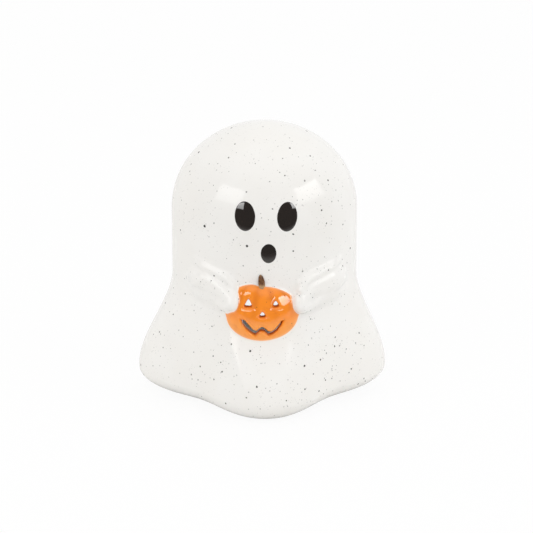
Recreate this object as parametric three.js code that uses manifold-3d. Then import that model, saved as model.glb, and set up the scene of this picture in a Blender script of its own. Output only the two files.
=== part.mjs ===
// Ghost-shaped ceramic tealight holder: a hollow cast ghost with relief arms round a carved pumpkin,
// open at the back, and the tealight that stands on its floor.
// Millimetres, +Z up. The ghost faces -Y, and the origin is the centre of its base.

import * as THREE from 'three';
import { mergeVertices } from 'three/addons/utils/BufferGeometryUtils.js';
import Module from 'manifold-3d';

const wasm = await Module();
wasm.setup();

// Driving dimensions of the cast ghost
const GHOST_HEIGHT = 111;
const HEAD_WIDTH = 74.5;
const HEAD_DEPTH = 71;
const DOME_RISE = 34.5;
const HEM_WIDTH = 101;
const HEM_DEPTH = 95.4;
const HEM_HEIGHT = 9.3; // where the skirt is widest
const HEM_TUCK = 11.5; // how far the front and rear folds round in to the foot
const SIDE_TUCK = 11.5; // how much further the folds at the sides do
const VALLEY_TUCK = 2.5; // how much further the valleys do
const FLARE_TOP = 50.5; // where the skirt starts to spread
const FOLD_COUNT = 4; // rounded folds of the sheet, the first at the front
const FOLD_DEPTH = 8.5; // depth of the valleys between the folds
const CAST_WALL = 4.2;
const FLOOR_THICKNESS = 4.3;
const FLOOR_CORNER = 5; // inner radius where the floor meets the wall
const FOOT_RECESS = 1.2;
const FOOT_RING_WIDTH = 5;

// Arched opening in the back, as wide as the tealight and the fingers that hold it
const FINGER_ROOM = 3.2;
const ARCH_HEIGHT = 46;

// Pumpkin in relief, and the carving through its wall
const PUMPKIN_X = -1.9; // the hands hold it a little off the centre plane
const PUMPKIN_Z = 42;
const PUMPKIN_WIDTH = 27.8;
const PUMPKIN_DEPTH = 18.4;
const PUMPKIN_HEIGHT = 27.6;
const PUMPKIN_PROUD = 5.2; // how far it stands out of the sheet
const PUMPKIN_WALL = 4;
const PUMPKIN_FULLNESS = 2.25; // power of its outline: 2 is an ellipse, more is fuller at the corners
const PUMPKIN_RIBS = 10;
const RIB_DEPTH = 0.55;
const RIB_TURN = 2; // degrees that the front rib lies to the right
const CREASE_SHARPNESS = 5;
const CREASE_LEAST = 0.1; // share of a crease's depth that is left below the pumpkin's middle

// Arms in relief: from each hand, bent over the pumpkin's side, out to the round end of its sleeve
const ARMS_X = -1; // the middle between the hands
const HAND_LAP = 1.5; // how far the middle of the hand lies inside the pumpkin's side
const HAND_DROP = 9.2; // from the pumpkin's top down to the fingers
const SLEEVE_REACH = 17; // from the hand out to the sleeve's end

// Stations along an arm: share of the reach, share of the drop, radius, and how far it stands out
const SLEEVE_STATIONS = [
  [1, 0.37, 6, 0.7],
  [0.88, 0.25, 6.5, 2.4],
  [0.7, 0.28, 6.7, 3],
  [0.46, 0.4, 6.3, 2.8],
  [0.2, 0.57, 4.8, 3.1],
  [0.05, 0.76, 3.7, 4.1],
  [0, 1, 3, 5],
];

// The fold along the arm's upper side, which runs out on the hand, in the same terms
const SLEEVE_FOLD_STATIONS = [
  [0.92, -0.52, 1.5, 0.1],
  [0.82, -0.46, 1.7, 1.1],
  [0.6, -0.29, 2, 1.4],
  [0.37, -0.14, 2, 1.5],
  [0.2, -0.04, 2, 1.8],
  [0.08, 0.14, 2, 2.3],
  [0.01, 0.46, 2.1, 3],
];

// The cuff along its lower side
const CUFF_STATIONS = [
  [0.99, 0.66, 4.2, 0.4],
  [0.81, 0.74, 4.9, 1.6],
  [0.6, 0.78, 4.9, 1.9],
  [0.4, 0.87, 4.5, 2.3],
  [0.23, 1.01, 3.8, 3],
  [0.09, 1.09, 3.2, 4],
];

// Stem, from the crown of the pumpkin up the sheet
const STEM_SEAT = 2.2; // how far its foot lies below the pumpkin's top
const STEM_LENGTH = 4.6;
const STEM_LEAN = -0.8;
const STEM_FOOT_RADIUS = 0.9;
const STEM_RADIUS = 1.2;
const STEM_TIP_RADIUS = 0.7;
const STEM_PROUD = 1.4;

// Enamel ovals of the face, and their places on the sheet
const ENAMEL_THICKNESS = 0.6;
const ENAMEL_ROUNDED = 0.7; // share of the thickness that is rounded off at the edge
const EYES_X = -0.6; // the middle between the eyes
const EYE_SPREAD = 8.2; // from that middle to each eye
const EYE_Z = 82.3;
const RIGHT_EYE_TILT = 2.6; // degrees
const MOUTH_X = 0.3;
const MOUTH_Z = 67.7;
const EYE_WIDTH = 7.8;
const EYE_HEIGHT = 11.3;
const MOUTH_WIDTH = 6.2;
const MOUTH_HEIGHT = 7.8;

// Tealight: a pressed cup, its wax, and a wick held by a tab
const CUP_DIAMETER = 38;
const CUP_HEIGHT = 16;
const CUP_WALL = 0.4;
const CUP_CHAMFER = 1;
const RIM_BEAD = 0.8;
const WAX_DEPTH = 12;
const WAX_MENISCUS = 0.8;
const TAB_DIAMETER = 12;
const TAB_THICKNESS = 0.5;
const TAB_NECK_HEIGHT = 3.5;
const TAB_NECK_WALL = 0.5;
const WICK_DIAMETER = 1.6;
const WICK_EXPOSED = 6;
const WICK_BEND = 1.2; // how far its free end is bent over

// Gap left between neighbouring pieces
const CLEARANCE = 0.3;

const FLOOR_TOP = FOOT_RECESS + FLOOR_THICKNESS;
const BEYOND = 30; // how far a cutter runs past what it cuts
const FRONT = -Math.PI / 2;
const OUTER_SIDES = 64; // round the sheet
const INNER_SIDES = 40; // round the chamber and the foot recess
const ARM_STEPS = 14; // along each sweep of an arm
const ARM_SIDES = 12;
const CAP_STEPS = 3; // rings over each round end of a sweep
const HALVINGS = 40; // of the span in which the sheet's front lies
const BLACK = 0x15120f;

// A smooth step from 0 to 1
function smoothStep(t) {
  const u = Math.min(Math.max(t, 0), 1);
  return u * u * (3 - 2 * u);
}

// How near an angle is to the middle of a valley between two folds, from 0 to 1
function valleyShare(angle) {
  return (1 - Math.cos(FOLD_COUNT * (angle - FRONT))) / 2;
}

// Plan radius of the sheet at an angle and a height, drawn in by an inset that also lowers the dome.
// Below cornerTop the section rounds in by cornerInset, as the hem does outside and the floor inside.
function sheetRadius(angle, z, inset, cornerTop, cornerInset, cornerDrop) {
  const flare = smoothStep((FLARE_TOP - z) / (FLARE_TOP - HEM_HEIGHT));
  const a = (HEAD_WIDTH + (HEM_WIDTH - HEAD_WIDTH) * flare) / 2 - inset;
  const b = (HEAD_DEPTH + (HEM_DEPTH - HEAD_DEPTH) * flare) / 2 - inset;
  const oval = (a * b) / Math.hypot(b * Math.cos(angle), a * Math.sin(angle));
  const valley = FOLD_DEPTH * flare * valleyShare(angle);
  const drop = Math.min(Math.max(cornerTop - z, 0) / cornerDrop, 1);
  const corner = cornerInset * (1 - Math.sqrt(1 - drop * drop));
  const domeBase = GHOST_HEIGHT - DOME_RISE;
  const climb = Math.min(Math.max(z - domeBase, 0) / (DOME_RISE - inset), 1);
  return (oval - valley - corner) * Math.sqrt(1 - climb * climb);
}

// How far the hem rounds in to the foot at an angle
function hemTuck(angle) {
  return HEM_TUCK + SIDE_TUCK * Math.cos(angle) ** 2 + VALLEY_TUCK * valleyShare(angle);
}

function outerRadius(angle, z) {
  return sheetRadius(angle, z, 0, HEM_HEIGHT, hemTuck(angle), HEM_HEIGHT);
}

function innerRadius(angle, z) {
  return sheetRadius(angle, z, CAST_WALL, FLOOR_TOP + FLOOR_CORNER, FLOOR_CORNER, FLOOR_CORNER);
}

// The point of the sheet's front at a place across and up, by halving the span that holds it
function frontPoint(x, z) {
  let near = 0;
  let far = HEM_DEPTH;
  for (let step = 0; step < HALVINGS; step++) {
    const middle = (near + far) / 2;
    const inside = Math.hypot(x, middle) < outerRadius(Math.atan2(-middle, x), z);
    if (inside) near = middle;
    else far = middle;
  }
  return new THREE.Vector3(x, -near, z);
}

// The outward normal of the sheet's front there
function frontNormal(x, z) {
  const reach = 0.5;
  const across = frontPoint(x + reach, z).sub(frontPoint(x - reach, z));
  const up = frontPoint(x, z + reach).sub(frontPoint(x, z - reach));
  return across.cross(up).normalize();
}

// A closed mesh from points and triangles, ready to join and cut
function closedGeometry(points, faces) {
  const geometry = new THREE.BufferGeometry();
  const numbers = points.flatMap((point) => [point.x, point.y, point.z]);
  geometry.setAttribute('position', new THREE.Float32BufferAttribute(numbers, 3));
  geometry.setIndex(faces.flat());
  return geometry;
}

// Skin a stack of closed rings of one size, with a single point at each end
function skin(rings, first, last) {
  const size = rings[0].length;
  const points = [first, ...rings.flat(), last];
  const at = (ring, side) => 1 + ring * size + (side % size);
  const faces = [];
  for (let side = 0; side < size; side++) {
    faces.push([0, at(0, side + 1), at(0, side)]);
    for (let ring = 0; ring + 1 < rings.length; ring++) {
      faces.push([at(ring, side), at(ring, side + 1), at(ring + 1, side + 1)]);
      faces.push([at(ring, side), at(ring + 1, side + 1), at(ring + 1, side)]);
    }
    faces.push([at(rings.length - 1, side), at(rings.length - 1, side + 1), points.length - 1]);
  }
  return closedGeometry(points, faces);
}

// Loft the sheet's form through a list of heights, closed flat below and at the crown above
function sheetLoft(radius, heights, crown, sides) {
  const rings = heights.map((z) => Array.from({ length: sides }, (_, side) => {
    const angle = (2 * Math.PI * side) / sides;
    const r = radius(angle, z);
    return new THREE.Vector3(r * Math.cos(angle), r * Math.sin(angle), z);
  }));
  return skin(rings, new THREE.Vector3(0, 0, heights[0]), new THREE.Vector3(0, 0, crown));
}

// Heights for a loft: round the bottom corner, up the flare, and over the dome by equal angles
function loftHeights(bottom, cornerDrop, inset, cornerSteps, flareSteps, domeSteps) {
  const heights = [];
  for (let step = 0; step < cornerSteps; step++) {
    heights.push(bottom + cornerDrop * (1 - Math.cos((Math.PI / 2) * (step / cornerSteps))));
  }
  const cornerTop = bottom + cornerDrop;
  for (let step = 0; step < flareSteps; step++) {
    heights.push(cornerTop + (FLARE_TOP - cornerTop) * (step / flareSteps));
  }
  heights.push(FLARE_TOP);
  const domeBase = GHOST_HEIGHT - DOME_RISE;
  for (let step = 0; step < domeSteps; step++) {
    heights.push(domeBase + (DOME_RISE - inset) * Math.sin((Math.PI / 2) * (step / domeSteps)));
  }
  return heights;
}

function outerLoft() {
  const heights = loftHeights(0, HEM_HEIGHT, 0, 6, 9, 9);
  return sheetLoft(outerRadius, heights, GHOST_HEIGHT, OUTER_SIDES);
}

function chamberLoft() {
  const heights = loftHeights(FLOOR_TOP, FLOOR_CORNER, CAST_WALL, 3, 5, 6);
  return sheetLoft(innerRadius, heights, GHOST_HEIGHT - CAST_WALL, INNER_SIDES);
}

// The shallow recess that leaves a foot ring under the base
function footRecess() {
  const radius = (angle) => outerRadius(angle, 0) - FOOT_RING_WIDTH;
  return sheetLoft(radius, [-FOOT_RECESS, FOOT_RECESS], FOOT_RECESS, INNER_SIDES);
}

// A shape drawn in the X-Z plane, run along Y from one depth to another
function runAlongY(shape, yFrom, yTo, curveSegments) {
  const geometry = new THREE.ExtrudeGeometry(shape, {
    depth: yTo - yFrom,
    bevelEnabled: false,
    curveSegments,
  });
  geometry.rotateX(Math.PI / 2);
  geometry.translate(0, yTo, 0);
  return geometry;
}

// The arch that the tealight goes in by, its threshold level with the floor
function rearArch() {
  const halfWidth = CUP_DIAMETER / 2 + RIM_BEAD + FINGER_ROOM;
  const springing = FLOOR_TOP + ARCH_HEIGHT - halfWidth;
  const shape = new THREE.Shape();
  shape.moveTo(-halfWidth, FLOOR_TOP);
  shape.lineTo(halfWidth, FLOOR_TOP);
  shape.lineTo(halfWidth, springing);
  shape.absarc(0, springing, halfWidth, 0, Math.PI, false);
  return runAlongY(shape, 0, HEM_DEPTH / 2 + BEYOND, 16);
}

// A round-ended sweep whose radius follows the stations along its path
function taperedSweep(stations, steps, sides) {
  const curve = new THREE.CatmullRomCurve3(stations.map((station) => station.centre));
  const radiusAt = (t) => {
    const place = t * (stations.length - 1);
    const index = Math.min(Math.floor(place), stations.length - 2);
    return THREE.MathUtils.lerp(stations[index].radius, stations[index + 1].radius, place - index);
  };
  const frames = curve.computeFrenetFrames(steps);
  const ring = (centre, index, radius) => Array.from({ length: sides }, (_, side) => {
    const angle = (2 * Math.PI * side) / sides;
    return centre.clone()
      .addScaledVector(frames.normals[index], radius * Math.cos(angle))
      .addScaledVector(frames.binormals[index], radius * Math.sin(angle));
  });
  const rings = [];
  const addCap = (end, index, outward) => {
    for (let step = 1; step < CAP_STEPS; step++) {
      const rise = outward > 0 ? step : CAP_STEPS - step;
      const angle = (Math.PI / 2) * (rise / CAP_STEPS);
      const centre = curve.getPoint(end).addScaledVector(
        frames.tangents[index], outward * radiusAt(end) * Math.sin(angle));
      rings.push(ring(centre, index, radiusAt(end) * Math.cos(angle)));
    }
  };
  addCap(0, 0, -1);
  for (let step = 0; step <= steps; step++) {
    rings.push(ring(curve.getPoint(step / steps), step, radiusAt(step / steps)));
  }
  addCap(1, steps, 1);
  const start = curve.getPoint(0).addScaledVector(frames.tangents[0], -radiusAt(0));
  const end = curve.getPoint(1).addScaledVector(frames.tangents[steps], radiusAt(1));
  return skin(rings, start, end);
}

// A station of a relief form: its centre lies so deep in the sheet that it stands proud by the given height
function reliefStation(x, z, radius, proud, grow) {
  const centre = frontPoint(x, z).addScaledVector(frontNormal(x, z), proud - radius);
  return { centre, radius: radius + grow };
}

// One arm's sleeve, fold and cuff, which run together into the hand over the pumpkin's side
function arm(side, grow) {
  const handX = ARMS_X + side * (PUMPKIN_WIDTH / 2 - HAND_LAP);
  const top = PUMPKIN_Z + PUMPKIN_HEIGHT / 2;
  const sweepThrough = (stations) => taperedSweep(
    stations.map(([reachShare, dropShare, radius, proud]) => reliefStation(
      handX + side * SLEEVE_REACH * reachShare, top - HAND_DROP * dropShare, radius, proud, grow)),
    ARM_STEPS, ARM_SIDES);
  return [SLEEVE_STATIONS, SLEEVE_FOLD_STATIONS, CUFF_STATIONS].map(sweepThrough);
}

// Centre of the pumpkin, so deep that its front stands proud of the sheet
function pumpkinCentre() {
  const front = frontPoint(PUMPKIN_X, PUMPKIN_Z);
  return new THREE.Vector3(PUMPKIN_X, front.y - PUMPKIN_PROUD + PUMPKIN_DEPTH / 2, PUMPKIN_Z);
}

// The pumpkin's round body, fuller than an ellipse, with creases between its ribs that deepen to the crown
function pumpkinForm(grow, ribDepth, sides, tiers) {
  const centre = pumpkinCentre();
  const full = (value) => Math.sign(value) * Math.abs(value) ** (2 / PUMPKIN_FULLNESS);
  const point = (side, tier) => {
    const around = FRONT + (2 * Math.PI * side) / sides;
    const up = -Math.PI / 2 + (Math.PI * tier) / tiers;
    const turn = around - FRONT - THREE.MathUtils.degToRad(RIB_TURN);
    const crease = Math.abs(Math.sin((PUMPKIN_RIBS / 2) * turn)) ** CREASE_SHARPNESS;
    const upperShare = CREASE_LEAST + (1 - CREASE_LEAST) * smoothStep(Math.sin(up));
    const sunk = ribDepth * crease * Math.cos(up) * upperShare;
    return new THREE.Vector3(
      centre.x + (PUMPKIN_WIDTH / 2 + grow - sunk) * full(Math.cos(around)) * full(Math.cos(up)),
      centre.y + (PUMPKIN_DEPTH / 2 + grow - sunk) * full(Math.sin(around)) * full(Math.cos(up)),
      centre.z + (PUMPKIN_HEIGHT / 2 + grow - sunk) * full(Math.sin(up)));
  };
  const rings = [];
  for (let tier = 1; tier < tiers; tier++) {
    rings.push(Array.from({ length: sides }, (_, side) => point(side, tier)));
  }
  return skin(rings, point(0, 0), point(0, tiers));
}

// The carving, across and up from the pumpkin's centre: two eyes, a nose, and the two lips of a wavy grin
const CARVED_TRIANGLES = [
  [[-5.7, 8.6], [-7.9, 4.6], [-4, 4.8]],
  [[4.8, 7.8], [3.2, 4.8], [6.6, 4.7]],
  [[-0.4, 4], [-2.2, 1.2], [1.4, 1.1]],
];
const UPPER_LIP = [
  [8.1, -0.3], [6, -2], [4.5, -3.8], [3, -4.8], [1.8, -4.4], [-0.7, -2.4], [-2.8, -4.3], [-4.1, -3.8],
  [-5.8, -1.8], [-7.3, -0.2], [-8.9, 0],
];
const LOWER_LIP = [
  [-8.2, -2.2], [-6.7, -4.2], [-4.8, -5.8], [-3.1, -6.8], [-1.4, -4.9], [0.3, -4.9], [1.8, -6.8],
  [3.5, -6.3], [5.5, -4.8], [7, -2.7], [8.1, -0.3],
];

// The cuts through the pumpkin's wall
function carving() {
  const corner = ([x, z]) => new THREE.Vector2(x, z);
  const triangles = CARVED_TRIANGLES.map((corners) => new THREE.Shape(corners.map(corner)));
  const grin = new THREE.Shape();
  grin.moveTo(...UPPER_LIP[0]);
  grin.splineThru(UPPER_LIP.slice(1).map(corner));
  grin.splineThru(LOWER_LIP.map(corner));
  const centre = pumpkinCentre();
  return [...triangles, grin].map((shape) => {
    const cut = runAlongY(shape, centre.y - PUMPKIN_DEPTH - BEYOND, centre.y, 2);
    cut.translate(centre.x, 0, centre.z);
    return cut;
  });
}

// The stem stands in the crown's crease and leans as it rises
function stem(grow) {
  const footZ = PUMPKIN_Z + PUMPKIN_HEIGHT / 2 - STEM_SEAT;
  const station = (share, radius) => reliefStation(
    PUMPKIN_X + STEM_LEAN * share ** 2, footZ + STEM_LENGTH * share, radius, STEM_PROUD, grow);
  return taperedSweep([
    station(0, STEM_FOOT_RADIUS),
    station(0.55, STEM_RADIUS),
    station(1, STEM_TIP_RADIUS),
  ], 6, 10);
}

// An oval of enamel laid on the sheet: flat-backed to it, and rounded off towards its edge
function enamelOval(x, z, width, height, tiltDegrees) {
  const sides = 24;
  const rows = [0.4, 0.8, 1];
  const tilt = THREE.MathUtils.degToRad(tiltDegrees);
  const place = (share, side, lift) => {
    const angle = (2 * Math.PI * side) / sides;
    const across = (width / 2) * share * Math.cos(angle);
    const up = (height / 2) * share * Math.sin(angle);
    const px = x + across * Math.cos(tilt) + up * Math.sin(tilt);
    const pz = z - across * Math.sin(tilt) + up * Math.cos(tilt);
    return frontPoint(px, pz).addScaledVector(frontNormal(px, pz), lift);
  };
  const crest = (share) => CLEARANCE + ENAMEL_THICKNESS * (1 - ENAMEL_ROUNDED * share ** 4);
  const ringAt = (share, lift) => Array.from({ length: sides }, (_, side) => place(share, side, lift));
  const front = rows.map((share) => ringAt(share, crest(share)));
  const back = rows.map((share) => ringAt(share, CLEARANCE)).reverse();
  const oval = skin([...front, ...back], place(0, 0, crest(0)), place(0, 0, CLEARANCE));
  return facingOut(oval);
}

function eye(side, tilt) {
  return enamelOval(EYES_X + side * EYE_SPREAD, EYE_Z, EYE_WIDTH, EYE_HEIGHT, tilt);
}

// Turn a closed mesh's faces round if they point in
function facingOut(geometry) {
  const position = geometry.getAttribute('position');
  const index = geometry.getIndex().array;
  const corner = (k) => new THREE.Vector3().fromBufferAttribute(position, index[k]);
  let volume = 0;
  for (let k = 0; k < index.length; k += 3) {
    volume += corner(k).dot(corner(k + 1).cross(corner(k + 2))) / 6;
  }
  if (volume < 0) geometry.setIndex(Array.from(index).reverse());
  return geometry;
}

// A revolved piece, from a profile of radius and height
function revolve(profile, sides) {
  const points = profile.map(([radius, z]) => new THREE.Vector2(radius, z));
  const geometry = new THREE.LatheGeometry(points, sides);
  geometry.rotateX(Math.PI / 2);
  return geometry;
}

// The pressed cup, with a chamfered foot and a rolled rim
function tealightCup() {
  const outer = CUP_DIAMETER / 2;
  const inner = outer - CUP_WALL;
  return revolve([
    [0, 0],
    [outer - CUP_CHAMFER, 0],
    [outer, CUP_CHAMFER],
    [outer, CUP_HEIGHT - 2 * RIM_BEAD],
    [outer + RIM_BEAD, CUP_HEIGHT - 1.5 * RIM_BEAD],
    [outer + RIM_BEAD, CUP_HEIGHT - RIM_BEAD / 2],
    [outer + RIM_BEAD / 2, CUP_HEIGHT],
    [inner, CUP_HEIGHT],
    [inner, CUP_CHAMFER + CUP_WALL],
    [inner - CUP_CHAMFER, CUP_WALL],
    [0, CUP_WALL],
  ], 32);
}

const TAB_BASE = CUP_WALL + CLEARANCE;
const NECK_BORE = WICK_DIAMETER / 2 + CLEARANCE;
const NECK_RADIUS = NECK_BORE + TAB_NECK_WALL;
const NECK_TOP = TAB_BASE + TAB_THICKNESS + TAB_NECK_HEIGHT;
const WAX_TOP = TAB_BASE + WAX_DEPTH;

// The wax, cast round the tab and the wick, its top drawn up at the cup and at the wick
function tealightWax() {
  const outer = CUP_DIAMETER / 2 - CUP_WALL - CLEARANCE;
  const tabRoom = TAB_DIAMETER / 2 + CLEARANCE;
  return revolve([
    [tabRoom, TAB_BASE],
    [outer - CUP_CHAMFER, TAB_BASE],
    [outer, TAB_BASE + CUP_CHAMFER],
    [outer, WAX_TOP],
    [outer - WAX_MENISCUS, WAX_TOP - WAX_MENISCUS * 0.7],
    [outer - 3 * WAX_MENISCUS, WAX_TOP - WAX_MENISCUS],
    [NECK_BORE + 2 * WAX_MENISCUS, WAX_TOP - WAX_MENISCUS],
    [NECK_BORE, WAX_TOP - WAX_MENISCUS * 0.4],
    [NECK_BORE, NECK_TOP + CLEARANCE],
    [NECK_RADIUS + CLEARANCE, NECK_TOP + CLEARANCE],
    [NECK_RADIUS + CLEARANCE, TAB_BASE + TAB_THICKNESS + CLEARANCE],
    [tabRoom, TAB_BASE + TAB_THICKNESS + CLEARANCE],
    [tabRoom, TAB_BASE],
  ], 32);
}

// The tab that keeps the wick upright: a disc with a crimped neck
function wickTab() {
  return revolve([
    [0, TAB_BASE],
    [TAB_DIAMETER / 2, TAB_BASE],
    [TAB_DIAMETER / 2, TAB_BASE + TAB_THICKNESS],
    [NECK_RADIUS, TAB_BASE + TAB_THICKNESS],
    [NECK_RADIUS, NECK_TOP],
    [NECK_BORE, NECK_TOP],
    [NECK_BORE, TAB_BASE + TAB_THICKNESS],
    [0, TAB_BASE + TAB_THICKNESS],
  ], 20);
}

// The wick, straight in its neck and the wax, and bent over a little at its free end
function wick() {
  const radius = WICK_DIAMETER / 2;
  const foot = TAB_BASE + TAB_THICKNESS + CLEARANCE + radius;
  const free = WAX_TOP + WICK_EXPOSED - radius;
  const station = (x, z) => ({ centre: new THREE.Vector3(x, 0, z), radius });
  return taperedSweep([
    station(0, foot),
    station(0, (foot + WAX_TOP) / 2),
    station(0, WAX_TOP),
    station(WICK_BEND / 4, (WAX_TOP + free) / 2),
    station(WICK_BEND, free),
  ], 10, 10);
}

// A geometry as a solid that can be joined and cut
function solidOf(geometry) {
  const plain = geometry.clone();
  plain.deleteAttribute('normal');
  plain.deleteAttribute('uv');
  const merged = mergeVertices(plain, 1e-4);
  return new wasm.Manifold(new wasm.Mesh({
    numProp: 3,
    vertProperties: new Float32Array(merged.getAttribute('position').array),
    triVerts: new Uint32Array(merged.getIndex().array),
  }));
}

// A solid back as a geometry
function geometryOf(solid) {
  const mesh = solid.getMesh();
  const geometry = new THREE.BufferGeometry();
  geometry.setAttribute('position', new THREE.BufferAttribute(mesh.vertProperties, 3));
  geometry.setIndex(new THREE.BufferAttribute(mesh.triVerts, 1));
  geometry.computeVertexNormals();
  return geometry;
}

// Both arms as solids, made larger all round by grow
function armSolids(grow) {
  return [-1, 1].flatMap((side) => arm(side, grow)).map(solidOf);
}

const chamber = solidOf(chamberLoft()).add(solidOf(rearArch()));
const pumpkinHollow = solidOf(pumpkinForm(-PUMPKIN_WALL, 0, 16, 8));
const stemSeat = solidOf(stem(CLEARANCE));

// The cast ghost: the sheet and its arms round an open chamber, with a seat for the pumpkin and its stem
function castGhost() {
  let shell = solidOf(outerLoft());
  shell = shell.subtract(solidOf(footRecess()));
  shell = shell.subtract(solidOf(pumpkinForm(CLEARANCE, 0, 32, 16)));
  for (const sweep of armSolids(0)) {
    shell = shell.add(sweep);
  }
  return shell.subtract(chamber).subtract(pumpkinHollow).subtract(stemSeat);
}

// The pumpkin: a hollow shell, open behind to the chamber, carved in front and lapped by the hands
function carvedPumpkin() {
  let shell = solidOf(pumpkinForm(0, RIB_DEPTH, 40, 16));
  shell = shell.subtract(pumpkinHollow).subtract(chamber).subtract(stemSeat);
  for (const cut of carving()) {
    shell = shell.subtract(solidOf(cut));
  }
  for (const sweep of armSolids(CLEARANCE)) {
    shell = shell.subtract(sweep);
  }
  return shell;
}

// A named piece with its own finish
function piece(name, geometry, color, roughness, metalness) {
  const material = new THREE.MeshStandardMaterial({ color, roughness, metalness });
  const mesh = new THREE.Mesh(geometry, material);
  mesh.name = name;
  return mesh;
}

const ghost = new THREE.Group();
ghost.add(
  piece('ghost_body', geometryOf(castGhost()), 0xefefea, 0.12, 0),
  piece('pumpkin', geometryOf(carvedPumpkin()), 0xf68c20, 0.1, 0),
  piece('pumpkin_stem', stem(0), 0x6b4a2b, 0.25, 0.4),
  piece('left_eye', eye(-1, 0), BLACK, 0.08, 0),
  piece('right_eye', eye(1, RIGHT_EYE_TILT), BLACK, 0.08, 0),
  piece('mouth', enamelOval(MOUTH_X, MOUTH_Z, MOUTH_WIDTH, MOUTH_HEIGHT, 0), BLACK, 0.08, 0),
);

const tealight = new THREE.Group();
tealight.position.set(0, 0, FLOOR_TOP + CLEARANCE);
tealight.add(
  piece('tealight_cup', tealightCup(), 0xc8cacc, 0.3, 1),
  piece('tealight_wax', tealightWax(), 0xf5f2ea, 0.5, 0),
  piece('wick_tab', wickTab(), 0xb0b2b4, 0.35, 1),
  piece('tealight_wick', wick(), 0xece6d8, 0.9, 0),
);

const tealightHolder = new THREE.Group();
tealightHolder.add(ghost, tealight);

export default tealightHolder;
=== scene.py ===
# Ghost tealight holder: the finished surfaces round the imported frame. The frame is in metres; the sizes
# below are in millimetres, as the ceramic was drawn, and each mesh is scaled by MM when it is made.

import math

import bmesh
import bpy
import numpy as np
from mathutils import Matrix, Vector


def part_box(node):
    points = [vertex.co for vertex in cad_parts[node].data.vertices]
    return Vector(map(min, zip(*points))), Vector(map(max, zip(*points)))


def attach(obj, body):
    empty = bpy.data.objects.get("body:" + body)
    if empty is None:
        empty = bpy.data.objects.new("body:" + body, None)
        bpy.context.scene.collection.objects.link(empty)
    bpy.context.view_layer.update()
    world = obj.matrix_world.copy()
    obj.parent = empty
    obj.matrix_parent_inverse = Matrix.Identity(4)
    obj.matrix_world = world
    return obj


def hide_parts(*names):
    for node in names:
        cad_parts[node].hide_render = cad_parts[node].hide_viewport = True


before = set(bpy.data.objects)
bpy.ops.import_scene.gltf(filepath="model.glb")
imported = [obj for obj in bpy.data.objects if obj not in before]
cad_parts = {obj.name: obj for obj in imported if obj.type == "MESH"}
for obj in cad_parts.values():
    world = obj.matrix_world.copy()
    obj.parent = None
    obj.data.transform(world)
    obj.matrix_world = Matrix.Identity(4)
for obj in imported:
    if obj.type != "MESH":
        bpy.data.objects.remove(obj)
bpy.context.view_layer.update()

MM = 0.001


def node_box(name):
    """Lowest and highest corner of a CAD node, in millimetres."""
    low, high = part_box(name)
    return np.array(low) / MM, np.array(high) / MM


# Sizes of the sheet, from its node and from the fitted form
BODY_LOW, BODY_HIGH = node_box("ghost_body")
GHOST_HEIGHT = BODY_HIGH[2]
HEM_WIDTH = BODY_HIGH[0] - BODY_LOW[0]
HEM_DEPTH = -2 * BODY_LOW[1]
HEAD_WIDTH = 74.5
HEAD_DEPTH = 71.0
DOME_RISE = 34.5
FLARE_TOP = 50.5
HEM_HEIGHT = 9.3
HEM_TUCK = 11.5
SIDE_TUCK = 11.5
VALLEY_TUCK = 2.5
FOLD_DEPTH = 8.5
SKIRT_SHIFT = -0.9
CAST_WALL = 4.2
FLOOR_TOP = 5.5
FLOOR_CORNER = 5.0
FOOT_RECESS = 1.2
FOOT_RING_WIDTH = 5.0

# Arched opening in the back
ARCH_HALF_WIDTH = 23.0
ARCH_HEIGHT = 46.0

# Pumpkin, from its centre, its half sizes above that and how far it reaches below. Its outline is an oval
# where the fullness is 2, and squarer above that
PUMPKIN_LOW, PUMPKIN_HIGH = node_box("pumpkin")
PUMPKIN_HALF = np.array([14.3, 9.2, 13.6])
PUMPKIN_CENTRE = np.array([
    (PUMPKIN_LOW[0] + PUMPKIN_HIGH[0]) / 2,
    PUMPKIN_LOW[1] + PUMPKIN_HALF[1],
    42.0,
])
PUMPKIN_DEEP = 16.1
PUMPKIN_FULLNESS = 2.1
PUMPKIN_FULLNESS_LOW = 1.9
PUMPKIN_PROFILE = 1.75
PUMPKIN_WALL = 4.0
PUMPKIN_RIBS = 10
RIB_DEPTH = 0.12
RIB_TURN = math.radians(2)

# The dip in the crown under the stem, and the brow raised on its left, from the pumpkin's centre
CROWN_DIP = 0.6
CROWN_DIP_X = -1.6
CROWN_DIP_WIDTH = 2.0
LOBE_X = -7.5
LOBE_Z = 12.0
LOBE_WIDTH = 7.0
LOBE_TALL = 3.5
LOBE_HEIGHT = 1.1

# How far the white glaze laps over the crown, from what height above the centre, and over what height it
# comes to that
WHITE_RIM = 0.45
WHITE_RIM_START = 5.0
WHITE_RIM_FADE = 5.0

# How softly one form runs into the next, as the glaze fills a crease or rounds an edge
SLEEVE_FILLET = 2.0
HAND_FILLET = 0.7
PUMPKIN_FILLET = 0.9
RIM_ROUNDING = 2.4
CUT_ROUNDING = 1.3
ARCH_ROUNDING = 1.0
HOLLOW_ROUNDING = 1.5
FOOT_ROUNDING = 0.5

# Grid steps of the ceramic's skin: fine round the relief, coarser elsewhere
FINE_STEP = 0.45
COARSE_STEP = 1.15
RELIEF_LOW = np.array([-21.0, -45.0, 26.0])
RELIEF_HIGH = np.array([19.0, -27.5, 64.0])


def smooth_step(t):
    u = np.clip(t, 0, 1)
    return u * u * (3 - 2 * u)


def smooth_min(a, b, width):
    """The lesser of two fields, run together over a width."""
    share = np.clip(0.5 + 0.5 * (b - a) / width, 0, 1)
    return b + (a - b) * share - width * share * (1 - share)


def smooth_max(a, b, width):
    return -smooth_min(-a, -b, width)


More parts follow.
